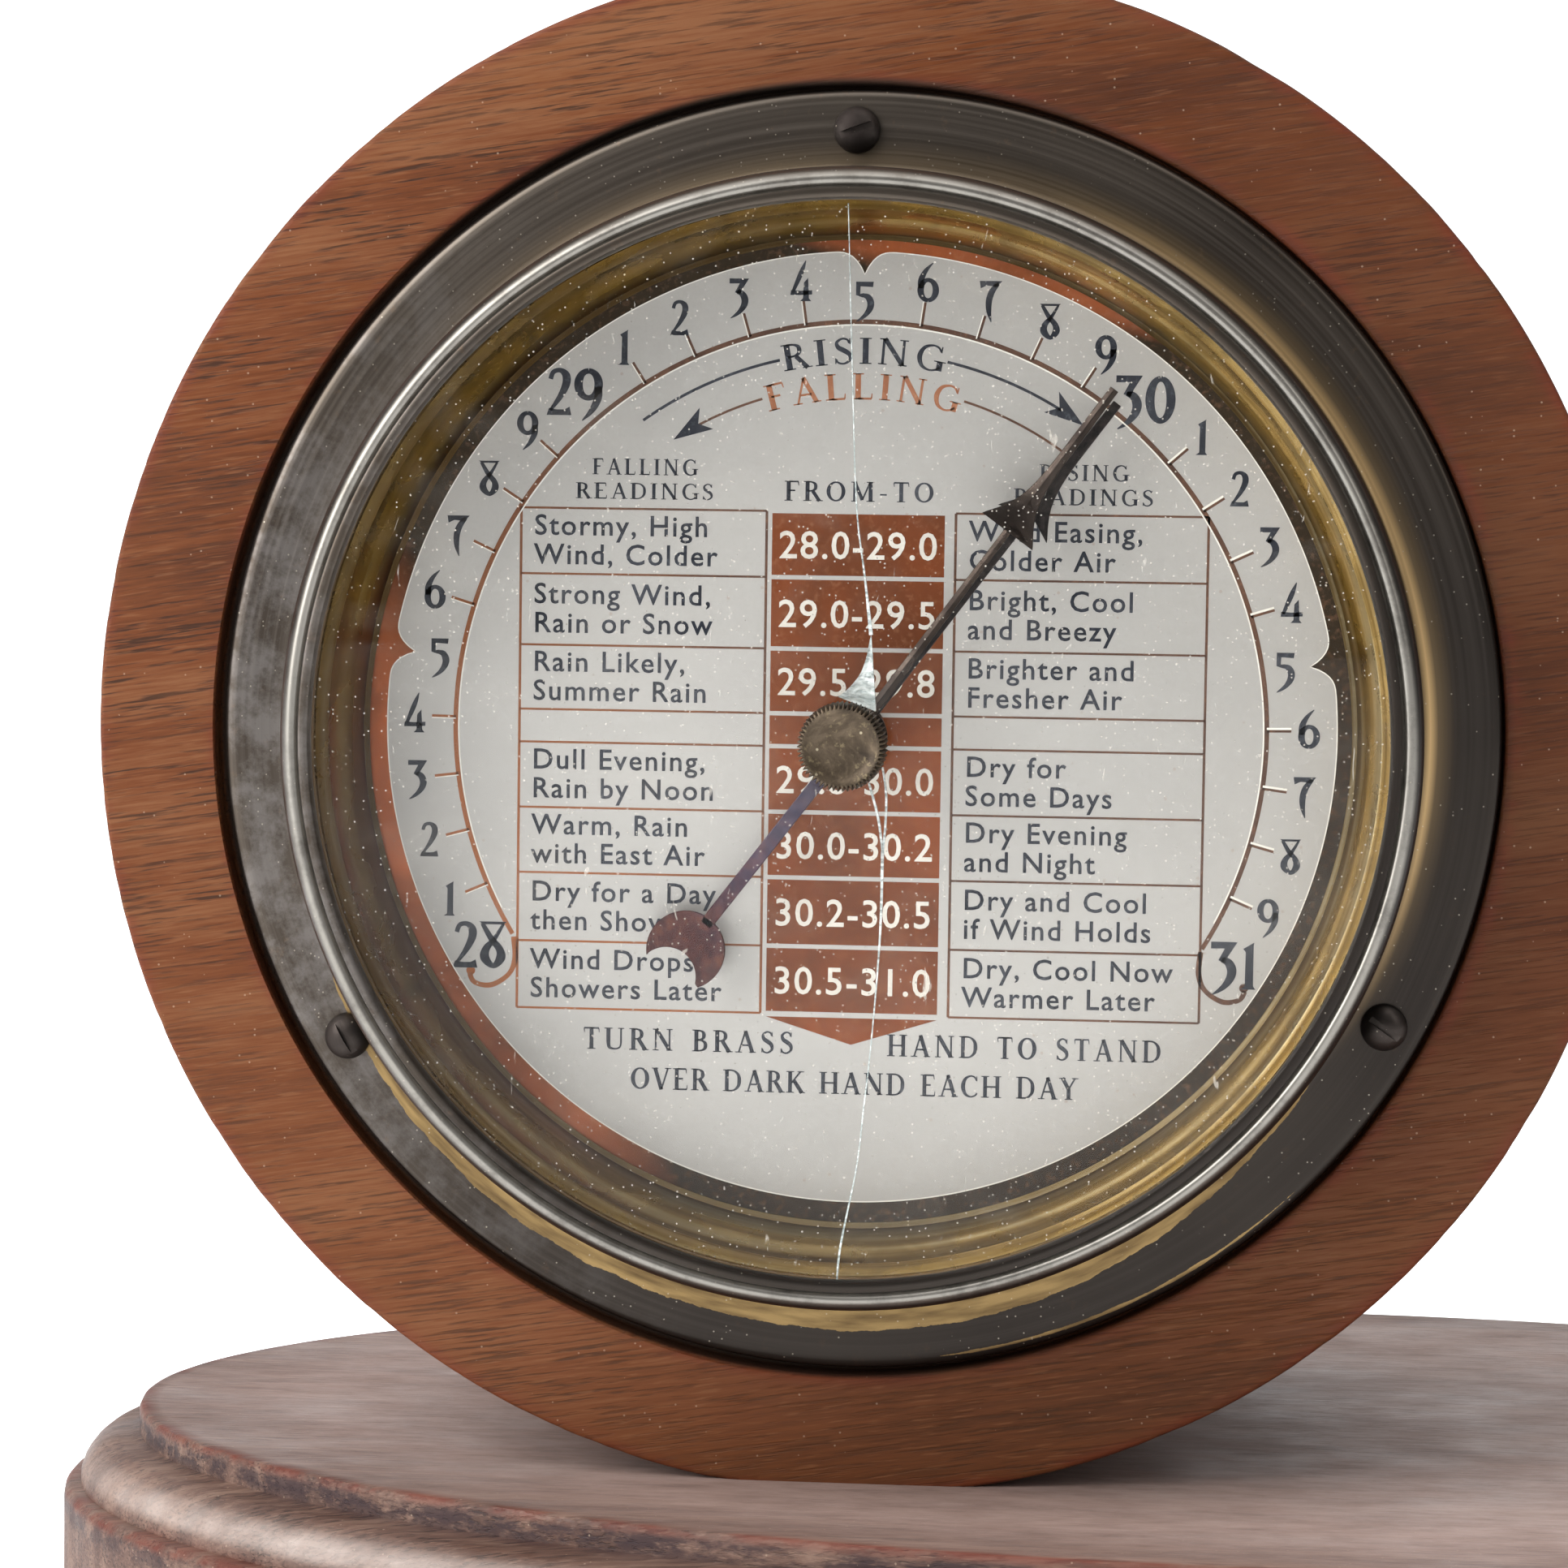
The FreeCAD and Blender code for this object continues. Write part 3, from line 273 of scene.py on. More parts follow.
class Look:
    """One material and the nodes that feed its Principled shader."""

    def __init__(self, name, roughness=0.5, metallic=0.0, specular=0.5):
        self.material = bpy.data.materials.new(name)
        self.material.use_nodes = True
        self.tree = self.material.node_tree
        self.shader = self.tree.nodes["Principled BSDF"]
        self.set(self.shader, {"Roughness": roughness, "Metallic": metallic,
                               "Specular IOR Level": specular})
        self.place = self.node("TexCoord").outputs["Object"]

    def set(self, node, inputs):
        """Gives the node's inputs their values, or links them to another node's output."""
        for key, value in inputs.items():
            socket = node.inputs[key]
            if isinstance(value, bpy.types.NodeSocket):
                self.tree.links.new(value, socket)
            else:
                socket.default_value = rgba(value) if socket.type == "RGBA" else value

    def node(self, kind, inputs=None, **settings):
        made = self.tree.nodes.new("ShaderNode" + kind)
        for key, value in settings.items():
            setattr(made, key, value)
        self.set(made, inputs or {})
        return made

    def sum(self, kind, *values):
        return self.node("Math", dict(enumerate(values)), operation=kind).outputs[0]

    def times(self, a, b):
        return self.sum("MULTIPLY", a, b)

    def vector(self, kind, *values):
        made = self.node("VectorMath", dict(enumerate(values)), operation=kind)
        return made.outputs["Value" if kind in ("LENGTH", "DOT_PRODUCT") else "Vector"]

    def stretched(self, per_axis, turn=(0, 0, 0)):
        """Object place scaled by cycles per metre along each axis."""
        inputs = {"Vector": self.place, "Rotation": [math.radians(a) for a in turn],
                  "Scale": [1 / cycles for cycles in per_axis]}
        return self.node("Mapping", inputs, vector_type="TEXTURE").outputs["Vector"]

    def from_axis(self):
        """Distance from the drum's axis, in metres."""
        away = self.vector("SUBTRACT", self.place, CENTRE)
        return self.vector("LENGTH", self.vector("MULTIPLY", away, (1, 0, 1)))

    def rings(self, per_metre, detail=3.0, drift=14.0):
        """Fine lines that run round the drum's axis, as turning and polishing leave them."""
        across = self.node("SeparateXYZ", {0: self.place}).outputs
        spot = self.node("CombineXYZ", {"X": self.times(self.from_axis(), per_metre),
                                        "Y": self.times(across["X"], drift),
                                        "Z": self.times(across["Z"], drift)})
        inputs = {"Vector": spot.outputs[0], "Scale": 1.0, "Detail": detail}
        return self.node("TexNoise", inputs).outputs["Fac"]

    def lean(self, direction, start, end):
        """0 to 1 across the object along a direction, between two places in millimetres."""
        away = self.vector("SUBTRACT", self.place, CENTRE)
        return self.span(self.vector("DOT_PRODUCT", away, direction), start, end)

    def span(self, value, start, end):
        """A length in metres to 0 at start and 1 at end, both in millimetres."""
        inputs = {"Value": value, "From Min": start * MM, "From Max": end * MM}
        return self.node("MapRange", inputs).outputs["Result"]

    def noise(self, per_axis, detail=4.0, rough=0.55, twist=0.0, turn=(0, 0, 0)):
        if not isinstance(per_axis, tuple):
            per_axis = (per_axis,) * 3
        inputs = {"Vector": self.stretched(per_axis, turn), "Scale": 1.0, "Detail": detail,
                  "Roughness": rough, "Distortion": twist}
        return self.node("TexNoise", inputs).outputs["Fac"]

    def specks(self, per_metre, share):
        """Small grains of dust: 1 on a grain, 0 between. share is the part of cells with one."""
        cells = self.node("TexVoronoi", {"Vector": self.stretched((per_metre,) * 3), "Scale": 1.0})
        near = self.ramp(cells.outputs["Distance"], (0.0, 1.0), (0.16, 1.0), (0.24, 0.0))
        chosen = self.node("SeparateColor", {0: cells.outputs["Color"]}).outputs[0]
        return self.times(near, self.sum("LESS_THAN", chosen, share))

    def mask(self, name):
        return self.node("Attribute", attribute_name=name).outputs["Fac"]

    def ramp(self, value, *stops):
        """Value to colour or grey: stops are (place, colour) or (place, grey)."""
        made = self.node("ValToRGB", {"Fac": value})
        band = made.color_ramp
        while len(band.elements) < len(stops):
            band.elements.new(0.5)
        for element, (place, colour) in zip(band.elements, stops):
            element.position = place
            element.color = rgba(colour)
        return made.outputs["Color"]

    def step(self, value, start, end):
        """0 below start, 1 above end."""
        return self.ramp(value, (start, 0.0), (end, 1.0))

    def blend(self, share, a, b):
        return self.node("Mix", {"Factor": share, 6: a, 7: b}, data_type="RGBA").outputs[2]

    def over(self, tone, where, share, colour):
        """A tone with a share of a colour laid over it where the mask is 1."""
        return self.blend(self.times(where, share), tone, colour)

    def dusty(self, tone, per_metre, cells, share, colour):
        return self.over(tone, self.specks(per_metre, cells), share, colour)

    def mixed(self, share, below, above):
        """Two shaders in one, sent to the surface."""
        both = self.node("MixShader", {0: share, 1: below, 2: above}).outputs[0]
        self.set(self.tree.nodes["Material Output"], {"Surface": both})
        return both

    def done(self, tone, rough=None, bump=None):
        """Sets colour, roughness (value, at 0, at 1) and bump (height, depth in mm, strength)."""
        self.set(self.shader, {"Base Color": tone})
        if rough:
            inputs = {"Value": rough[0], "To Min": rough[1], "To Max": rough[2]}
            roughness = self.node("MapRange", inputs).outputs["Result"]
            self.set(self.shader, {"Roughness": roughness})
        if bump:
            inputs = {"Strength": bump[2], "Distance": bump[1] * MM, "Height": bump[0]}
            self.set(self.shader, {"Normal": self.node("Bump", inputs).outputs["Normal"]})
        return self.material


def wood(name, tones, tilt, dust, dust_and_sheen_tone, roughness, specular, shade):
    """Straight-grained wood, its grain near X: tones are (pore, dark, middle, light); shade sets
    painted shade on the right and painted light at the bottom, and the dust tone also paints sheen on
    a top.
    """
    pore, dark, middle, light = tones
    look = Look(name, roughness, specular=specular)

    def grain(per_axis, detail, rough, twist=0.0):
        return look.noise(per_axis, detail, rough, twist, (0, tilt, 0))

    def ragged(name, per_axis, rough, start, end):
        """A mask broken up by noise that is stretched along the grain."""
        return look.times(look.mask(name), look.ramp(look.noise(per_axis, *rough), start, end))

    fibre = grain((110, 2300, 2700), 4, 0.7, 0.1)
    body = look.sum("ADD", look.times(grain((8, 380, 75), 3, 0.6, 0.3), 0.62),
                    look.times(fibre, 0.38))
    body = look.ramp(body, (0.36, dark), (0.49, middle), (0.62, light))
    pores = look.ramp(grain((150, 2900, 3300), 3, 0.6), (0.38, 1.0), (0.47, 0.0))
    patch = look.ramp(grain((30, 380, 110), 3, 0.6), (0.36, 0.2), (0.58, 1.0))
    body = look.over(body, pores, look.times(patch, 0.82), pore)
    body = look.over(body, look.step(grain((260, 3300, 3700), 2, 0.5), 0.58, 0.68), 0.62, light)
    # painted shade: darker towards the right; painted bounce light: lighter towards the bottom
    body = look.over(body, look.lean((0.9, 0, 0.3), 0, 56), 1.3 * shade, dark)
    body = look.over(body, look.lean((0, 0, -1), 15, 66), 0.6 * shade, light)
    film = look.step(look.noise((70, 110, 110), 5, 0.62), 0.32, 0.74)
    # dust film, and on the base's top dust with a painted sheen
    lying = ragged("lying", (150, 520, 520), (6, 0.72), (0.34, 0.48), (0.64, 0.80))
    body = look.blend(look.sum("MAXIMUM", look.times(film, dust), lying), body, dust_and_sheen_tone)
    wear = ragged("arris", (60, 260, 260), (5, 0.7), (0.40, 0.0), (0.56, 1.0))
    body = look.over(body, wear, 0.7, (98, 40, 27))
    bruise = ragged("bruise", (70, 420, 420), (5, 0.7), (0.42, 0.0), (0.52, 1.0))
    body = look.over(body, bruise, 0.85, (46, 34, 38))
    body = look.dusty(body, 2100, 0.035, 0.3, (190, 168, 146))
    # painted sheen: a pale streak along the base's cove
    scuff = ragged("scuff", (16, 240, 240), (5, 0.6), (0.30, 0.3), (0.76, 0.9))
    body = look.over(body, scuff, 0.75, (196, 184, 176))
    # dirt and painted shade darken the drum's recess
    body = look.blend(look.mask("grime"), body, (48, 37, 30))
    return look.done(body, (look.sum("MAXIMUM", film, look.mask("grime")), roughness - 0.08,
                            roughness + 0.22),
                     (look.sum("SUBTRACT", look.times(fibre, 0.5), pores), 0.06, 0.6))


def metal(name, bright, dull, roughness, brushed=(400, 400, 400), tarnish=0.5, dust=0.03,
          metallic=0.95):
    """Metal with brushed scratches, blotches of tarnish and a little dust."""
    look = Look(name, roughness, metallic)
    blotch = look.step(look.noise(130, 6, 0.65, 0.6), 0.40, 0.66)
    lines = look.noise(brushed, 4, 0.6)
    tone = look.over(bright, blotch, tarnish, dull)
    tone = look.over(tone, look.step(lines, 0.35, 0.70), 0.25, dull)
    tone = look.dusty(tone, 2400, dust, 0.6, (170, 160, 145))
    return look.done(tone, (blotch, max(0.05, roughness - 0.07), min(1.0, roughness + 0.22)),
                     (lines, 0.02, 0.35))


def bronzed_brass():
    """Dark bronzed brass, spun in fine rings, rubbed through to brass where the mask says."""
    look = Look("bronzed_brass", 0.34, 0.9)
    spun = look.rings(2600, 4)
    tone = look.ramp(look.noise(38, 3, 0.5), (0.34, (58, 51, 45)), (0.66, (77, 69, 61)))
    tone = look.over(tone, look.step(spun, 0.42, 0.68), 0.35, (104, 96, 88))
    tone = look.over(tone, look.step(look.noise(620, 5, 0.7), 0.60, 0.72), 0.3, (112, 88, 66))
    # painted reflection: lighter towards the top
    tone = look.over(tone, look.lean((-0.25, 0, 1.0), 34, 60), 0.14, (124, 117, 108))
    # grey patina mottling, kept to the left side, where it also paints light
    patina_and_painted_light = look.times(look.lean((-1, 0, -0.2), 20, 50),
                        look.step(look.noise(170, 6, 0.72), 0.44, 0.60))
    tone = look.over(tone, patina_and_painted_light, 0.42, (128, 123, 120))
    # painted shade: darker towards the lower right
    tone = look.over(tone, look.lean((0.62, 0, -0.78), -18, 34), 0.72, (30, 27, 26))
    # painted reflection: gold glow along the neck's foot
    tone = look.over(tone, look.mask("warm"), 0.9, (204, 170, 120))
    breakup = look.times(look.sum("SUBTRACT", look.noise(210, 6, 0.7), 0.5), 0.9)
    bare = look.step(look.sum("ADD", look.mask("worn"), breakup), 0.50, 0.53)
    tone = look.blend(bare, tone, look.ramp(look.rings(900, 5, 120.0), (0.36, (88, 70, 46)),
                                            (0.62, (142, 118, 78))))
    # the rubbed bead, lightened further as a painted highlight
    tone = look.over(tone, look.mask("rubbed"),
                     look.ramp(look.noise(240, 5, 0.7), (0.30, 0.45), (0.52, 1.0)),
                     (138, 134, 127))
    # painted shade in the neck's crease and on the rim in the recess
    tone = look.over(tone, look.mask("seam"), 0.85, (24, 20, 17))
    tone = look.dusty(tone, 2600, 0.07, 0.4, (184, 174, 158))
    dull = look.sum("ADD", look.times(spun, 0.7), look.times(bare, 0.3))
    return look.done(tone, (dull, 0.26, 0.52), (spun, 0.012, 0.5))


def gilt_cone():
    """Lacquered brass of the cone, dulled in rings, with painted shade near the dial."""
    look = Look("gilt_cone", 0.3, 0.9)
    look.set(look.shader, {"Specular Tint": (236, 210, 164)})
    rings = look.rings(2100, 5)
    patch = look.step(look.noise(120, 5, 0.65, 0.8), 0.42, 0.60)
    tone = look.ramp(rings, (0.36, (130, 103, 56)), (0.50, (196, 168, 112)),
                     (0.64, (234, 217, 172)))
    # painted shade: darker towards the upper left
    tone = look.over(tone, look.lean((-0.90, 0, 0.44), -14, 30), 0.85, (80, 58, 28))
    tone = look.over(tone, patch, 0.35, (88, 68, 42))
    # painted shade where the cone meets the dial
    tone = look.over(tone, look.mask("foot"), 0.8, (66, 52, 32))
    tone = look.dusty(tone, 2200, 0.08, 0.6, (206, 194, 168))
    return look.done(tone, (look.sum("MAXIMUM", patch, look.mask("foot")), 0.22, 0.36),
                     (rings, 0.03, 0.5))


def back_brass():
    """Brass of the back cover, spun in fine rings and browned towards its rim."""
    look = Look("back_brass", 0.36, 0.95)
    spun = look.rings(1700, 4, 9.0)
    age = look.step(look.noise(38, 6, 0.6, 0.2), 0.36, 0.74)
    tone = look.ramp(spun, (0.36, (104, 82, 52)), (0.64, (138, 112, 74)))
    tone = look.over(tone, age, 0.5, (84, 64, 44))
    tone = look.over(tone, look.span(look.from_axis(), 40, 57), 0.6, (62, 46, 32))
    tone = look.dusty(tone, 1400, 0.06, 0.5, (60, 58, 44))
    return look.done(tone, (age, 0.26, 0.46), (spun, 0.02, 0.5))


def silvering():
    """Silvered dial face: satin grey with faint clouds, foxing spots and dust."""
    look = Look("silvering", 0.40, 0.65)
    grit = look.noise(3200, 2, 0.5)
    tone = look.ramp(look.noise(28, 4, 0.5), (0.36, (178, 175, 171)),
                     (0.62, (187, 184, 180)))
    tone = look.over(tone, look.step(grit, 0.50, 0.78), 0.14, (160, 156, 150))
    tone = look.dusty(tone, 1300, 0.02, 0.25, (150, 110, 75))
    tone = look.dusty(tone, 2300, 0.08, 0.55, (244, 238, 230))
    return look.done(tone, (grit, 0.34, 0.50), (grit, 0.004, 0.5))


def copper_ground(name, light, deep, tarnish=0.0):
    """Coppered ground of the dial, darker and browner in patches; tarnish sets a painted shade away
    from its lower left.
    """
    look = Look(name, 0.36, 0.6)
    patch = look.step(look.noise(75, 5, 0.6, 0.5), 0.38, 0.64)
    # painted shade darkens the ring away from its lower left, but not along its top
    unshaded_top = look.times(look.lean((0.25, 0, 0.97), 41.2, 43.2), 0.85)
    faded = look.times(look.lean((0.80, 0, 0.35), -34, -27),
                       look.times(look.sum("SUBTRACT", 1.0, unshaded_top), tarnish))
    tone = look.blend(look.sum("MAXIMUM", look.times(patch, 0.55), faded), light, deep)
    grit = look.noise(1700, 3, 0.6)
    tone = look.over(tone, look.step(grit, 0.52, 0.80), 0.25, (180, 130, 96))
    tone = look.dusty(tone, 2300, 0.06, 0.5, (226, 210, 192))
    return look.done(tone, (patch, 0.30, 0.52), (grit, 0.006, 0.5))


def ink(name, tone, faded, fade=0.35, metallic=0.1, lower_left_reflection=None):
    """Print on the dial, rubbed thin in spots, and a painted reflection tone towards the lower left.
    """
    look = Look(name, 0.45, metallic, 0.25)
    spots = look.step(look.noise(1500, 4, 0.7), 0.52, 0.70)
    half_faded = tuple(mix(a, b, 0.35) for a, b in zip(rgba(tone), rgba(faded)))
    body = look.ramp(look.noise(120, 3, 0.5), (0.35, tone), (0.75, half_faded))
    if lower_left_reflection:
        # painted reflection: a coppery tone towards the lower left
        body = look.blend(look.lean((-0.80, 0, -0.60), 2, 34), body, lower_left_reflection)
    return look.done(look.over(body, spots, fade, faded), bump=(spots, 0.01, 0.6))


def clear_glass():
    """Thin pane: lets light straight through, mirrors more at a slant, with dust and smears."""
    look = Look("pane_glass", 0.5)
    clear = look.node("BsdfTransparent", {"Color": (0.985, 0.985, 0.98, 1)}).outputs[0]
    gloss = look.node("BsdfGlossy", {"Roughness": 0.02}).outputs[0]
    slope = look.node("LayerWeight", {"Blend": 0.5}).outputs["Facing"]
    glare = look.sum("MULTIPLY_ADD", look.sum("POWER", slope, 5.0), 0.989, 0.011)
    smear = look.ramp(look.noise((70, 70, 110), 5, 0.65, 0.8), (0.52, 0.0), (0.86, 0.04))
    grains = look.times(look.specks(2500, 0.12), 0.5)
    lint = look.ramp(look.noise((900, 900, 240), 2, 0.5, 1.5), (0.74, 0.0), (0.78, 0.35))
    dirt = look.sum("MAXIMUM", smear, look.sum("MAXIMUM", grains, lint))
    look.mixed(dirt, look.mixed(glare, clear, gloss), look.shader.outputs[0])
    return look.done((214, 206, 194))


def fracture():
    """Broken glass face: pale, wet-looking and half see-through."""
    look = Look("fracture", 0.12, specular=0.9)
    veins = look.noise((500, 500, 1500), 4, 0.6, 1.0)
    look.mixed(look.ramp(veins, (0.34, 0.34), (0.66, 0.92)),
               look.node("BsdfTransparent").outputs[0], look.shader.outputs[0])
    return look.done(look.ramp(veins, (0.35, (150, 168, 166)), (0.65, (238, 243, 241))),
                     bump=(veins, 0.05, 0.8))


def baize():
    """Green felt with a short nap."""
    look = Look("baize", 0.95)
    look.set(look.shader, {"Sheen Weight": 0.4})
    nap = look.noise(2600, 5, 0.75)
    return look.done(look.ramp(nap, (0.3, (24, 58, 34)), (0.7, (58, 104, 64))),
                     bump=(nap, 0.25, 0.8))


def rusty_blue_steel():
    """Blued-black steel of the pointer: bare on its tail, rusty at the tail's end."""
    look = Look("blued_steel", 0.38, 0.75)
    fine = look.noise(1500, 5, 0.65)
    black = look.ramp(fine, (0.35, (24, 22, 22)), (0.70, (56, 50, 48)))
    pale = look.ramp(fine, (0.35, (44, 70, 112)), (0.70, (78, 108, 150)))
    rust = look.ramp(look.noise(900, 5, 0.7), (0.34, (62, 36, 38)), (0.52, (92, 58, 56)),
                     (0.72, (120, 78, 60)))
    tone = look.blend(look.mask("bare"), black, pale)
    tone = look.blend(look.mask("rust"), tone, rust)
    tone = look.dusty(tone, 1500, 0.06, 0.6, (190, 180, 168))
    return look.done(tone, (look.mask("rust"), 0.34, 0.8), (fine, 0.03, 0.7))


def knob_brass():
    """Dark, pitted brass of the knob's face."""
    look = Look("knob_brass", 0.4, 0.8)
    fine = look.noise(1400, 5, 0.7)
    tone = look.ramp(look.noise(330, 5, 0.65, 0.5), (0.32, (50, 42, 34)),
                     (0.50, (76, 65, 52)), (0.70, (108, 94, 78)))
    tone = look.over(tone, look.step(fine, 0.56, 0.74), 0.5, (168, 152, 118))
    tone = look.dusty(tone, 1600, 0.12, 0.6, (190, 178, 150))
    return look.done(tone, (fine, 0.3, 0.62), (fine, 0.05, 0.8))


materials = {
    "drum_wood": wood("drum_wood", ((38, 22, 14), (66, 33, 15), (97, 51, 23), (115, 73, 45)),
                      tilt=-9, dust=0.06, dust_and_sheen_tone=(114, 86, 62), roughness=0.45,
                      specular=0.15, shade=0.45),
    "base_wood": wood("base_wood", ((36, 25, 22), (66, 46, 39), (90, 66, 56), (117, 93, 80)),
                      tilt=-2, dust=0.12, dust_and_sheen_tone=(176, 152, 143), roughness=0.48,
                      specular=0.18, shade=0.0),
    "felt": baize(),
    "glass": clear_glass(),
    "cork": metal("fibre_ring", (120, 98, 70), (84, 66, 46), 0.9, metallic=0.0),
    "dial_metal": copper_ground("copper_ring", (176, 92, 46), (48, 36, 20), 1.0),
    "bronzed_brass": bronzed_brass(),
    "dark_steel": metal("dark_steel", (70, 64, 60), (44, 38, 36), 0.42, tarnish=0.8),
    "polished_brass": gilt_cone(),
    "blued_steel": rusty_blue_steel(),
    "aged_brass": metal("aged_brass", (66, 57, 51), (34, 29, 28), 0.26, tarnish=0.85, dust=0.08),
    "nickel_silver": metal("nickel_silver", (196, 190, 174), (140, 130, 108), 0.3),
    "spring_steel": metal("spring_steel", (70, 78, 100), (48, 46, 56), 0.3),
    "cast_iron": metal("cast_iron", (52, 52, 52), (34, 32, 32), 0.6, metallic=0.6),
    "zinc_steel": metal("zinc_steel", (160, 160, 158), (112, 108, 102), 0.4),
    "steel": metal("steel", (176, 176, 174), (120, 116, 110), 0.3),
    "movement_brass": metal("movement_brass", (160, 130, 80), (104, 80, 50), 0.32,
                            brushed=(60, 900, 1400)),
    "back_metal": back_brass(),
    "knob_brass": knob_brass(),
}
silver = silvering()
dark_ink = ink("dark_ink", (28, 32, 42), (104, 107, 114), 0.4)
line_ink = ink("line_ink", (82, 60, 50), (146, 104, 80), 0.45, 0.3, (158, 96, 58))
copper_ink = ink("copper_ink", (148, 92, 66), (196, 146, 112), 0.4, 0.4)
# painted highlights beside the etched lines
painted_highlight_ink = ink("painted_highlight_ink", (240, 238, 230), (206, 200, 190), 0.4, 0.2)


# ------------------------------------------------------------------ wooden drum and base

def edge_mask(radius, depth):
    """1 at the drum's outer corners and at the recess's mouth."""
    gaps = [math.hypot(DRUM_RADIUS - radius, depth), math.hypot(RECESS_RADIUS - radius, depth),
            math.hypot(DRUM_RADIUS - radius, DRUM_DEPTH - depth)]
    return 1 - ease(min(gaps), 0.2, 1.6)


def make_drum():
    """Turned drum with worn, slightly nicked corners, seated on its flat."""
    rebate_radius, rebate_depth, bore, recess = 56.0, 2.0, 51.0, 3.0
    deepest, front_step, side_step = 0.10, 0.6, 2.5
    corners = rounded([(RECESS_RADIUS, 0), (DRUM_RADIUS, 0), (DRUM_RADIUS, DRUM_DEPTH),
                       (rebate_radius, DRUM_DEPTH), (rebate_radius, DRUM_DEPTH - rebate_depth),
                       (bore, DRUM_DEPTH - rebate_depth), (bore, recess),
                       (RECESS_RADIUS, recess)], 0.55, 4)
    profile = []
    for (r0, w0), (r1, w1) in zip(corners, corners[1:] + corners[:1]):
        pitch = front_step if w0 == w1 == 0 else side_step
        parts = max(1, int(math.hypot(r1 - r0, w1 - w0) / pitch))
        profile += [(mix(r0, r1, i / parts), mix(w0, w1, i / parts)) for i in range(parts)]

    def nicked(radius, depth, turn):
        if 55 < radius < RECESS_RADIUS + 0.4 and depth <= recess:
            # the recess is wider on the left, where the bezel stands off it
            return radius - 0.42 * math.sin(turn + 0.3)
        wear = edge_mask(radius, depth)
        if wear <= 0 or radius < RECESS_RADIUS + 1:
            return radius
        spot = Vector((math.sin(turn), math.cos(turn), depth * 0.02)) * 9
        dent = max(0.0, noise.noise(spot) + noise.noise(spot * 5) * 0.7)
        return radius - wear * deepest * dent

    points, faces = lathe(profile, STEPS * 2, nicked)
    points = [(u, w, max(v, DRUM_FLAT)) for u, w, v in points]
    drum = piece("turned_drum", (points, faces), "drum_wood", ("drum_case",))

    def arris(u, w, v):
        return 0.7 * edge_mask(math.hypot(u, v), w)

    def grime(u, w, v):
        """Dirt and painted shade in the recess, weaker on the right."""
        mouth = 1 - ease(math.hypot(u, v), RECESS_RADIUS, RECESS_RADIUS + 0.6)
        mouth *= mix(1.0, 0.25, ease(u, -10, 40))
        return mouth * (1 - ease(w, recess + 1, recess + 3))

    mark(drum, arris=arris, grime=grime)


def make_base():
    """Two oval tiers joined by a cove, with softened, rubbed arrises."""
    low, high = (Vector(corner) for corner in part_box("base_board"))
    middle = ((low + high) / 2 - CENTRE) / MM
    half_u, half_w = (high.x - low.x) / 2 / MM, (high.y - low.y) / 2 / MM
    top, foot = (high.z - CENTRE.z) / MM, (low.z - CENTRE.z) / MM
    step_in, drop, fillet = 7.4, 7.6, 3.0
    # (how far in from the widest outline, height below the top)
    section = [(step_in + more, 0) for more in (16, 10, 6, 3.5, 2.0, 0.7)]
    section += [(step_in + 0.25, 0.12)] + [(step_in, below) for below in (0.6, 1.1, 1.8)]
    section += [(step_in, fillet - 0.3), (step_in - 1.0, fillet)]
    for turn in range(1, 9):
        angle = math.radians(90 * turn / 8)
        section.append((mix(1.6, step_in - 1.0, 1 - math.sin(angle)),
                        mix(fillet, drop, 1 - math.cos(angle))))
    section += [(0.6, drop + 0.15), (0.12, drop + 0.7), (0, drop + 1.4), (0, drop + 2.2)]
    section += [(0, mix(drop + 3.2, top - foot - 1.2, i / 4)) for i in range(5)]
    section += [(0.35, top - foot - 0.35), (1.2, top - foot)]
    points, count = [], len(section)
    for step in range(STEPS):
        turn = math.tau * step / STEPS
        for inset, below in section:
            ripple = 0.12 * noise.noise(Vector((math.sin(turn) * 14, math.cos(turn) * 14, below)))
            ring_u, ring_w = half_u - inset - abs(ripple), half_w - inset - abs(ripple)
            points.append((middle.x + ring_u * math.sin(turn), middle.y - ring_w * math.cos(turn),
                           top - below))
    faces = wrapped(STEPS, count)
    del faces[count - 1::count]    # the top and the underside are closed by one face each
    faces.append(tuple(step * count for step in range(STEPS)))
    faces.append(tuple(step * count + count - 1 for step in reversed(range(STEPS))))
    base = piece("oval_base", (points, faces), "base_wood", ("base_board",), 50)

    def from_edge(u, w):
        """How far a point of the top lies inside its outline."""
        across, along = (u - middle.x) / (half_u - step_in), (w - middle.y) / (half_w - step_in)
        return (1 - math.hypot(across, along)) * half_w

    def arris(u, w, v):
        """Rubbed edges of both tiers."""
        below = top - v
        if below < 0.05:
            return 1 - ease(from_edge(u, w), 0.3, 1.0)
        upper = 1 - ease(below, 0.2, 1.1)
        return max(upper, 1 - ease(abs(below - drop - 0.6), 0.2, 0.9))

    def bruise(u, w, v):
        """Dark knocks along both tiers' edges."""
        below = top - v
        return max(1 - ease(abs(below - 1.8), 0.5, 1.4),
                   0.7 * (1 - ease(abs(below - drop - 2.0), 0.5, 1.6)))

    def scuff(u, w, v):
        """Painted sheen streak in the cove, strongest along the front."""
        front_share = mix(0.25, 1.0, ease(middle.y - w, 8, 36))
        return front_share * (1 - ease(abs(top - v - 5.2), 0.3, 1.8))

    def lying(u, w, v):
        """Dust on the top, wiped thinner towards its edge, with a painted sheen that lightens the top.
        """
        wiped = mix(0.45, 1.0, ease(from_edge(u, w), 1, 14))
        return (1 - ease(top - v, 0.02, 0.5)) * (1 - 0.8 * arris(u, w, v)) * wiped

    mark(base, arris=arris, bruise=bruise, scuff=scuff, lying=lying)


# ------------------------------------------------------------------ bezel, screws, glass

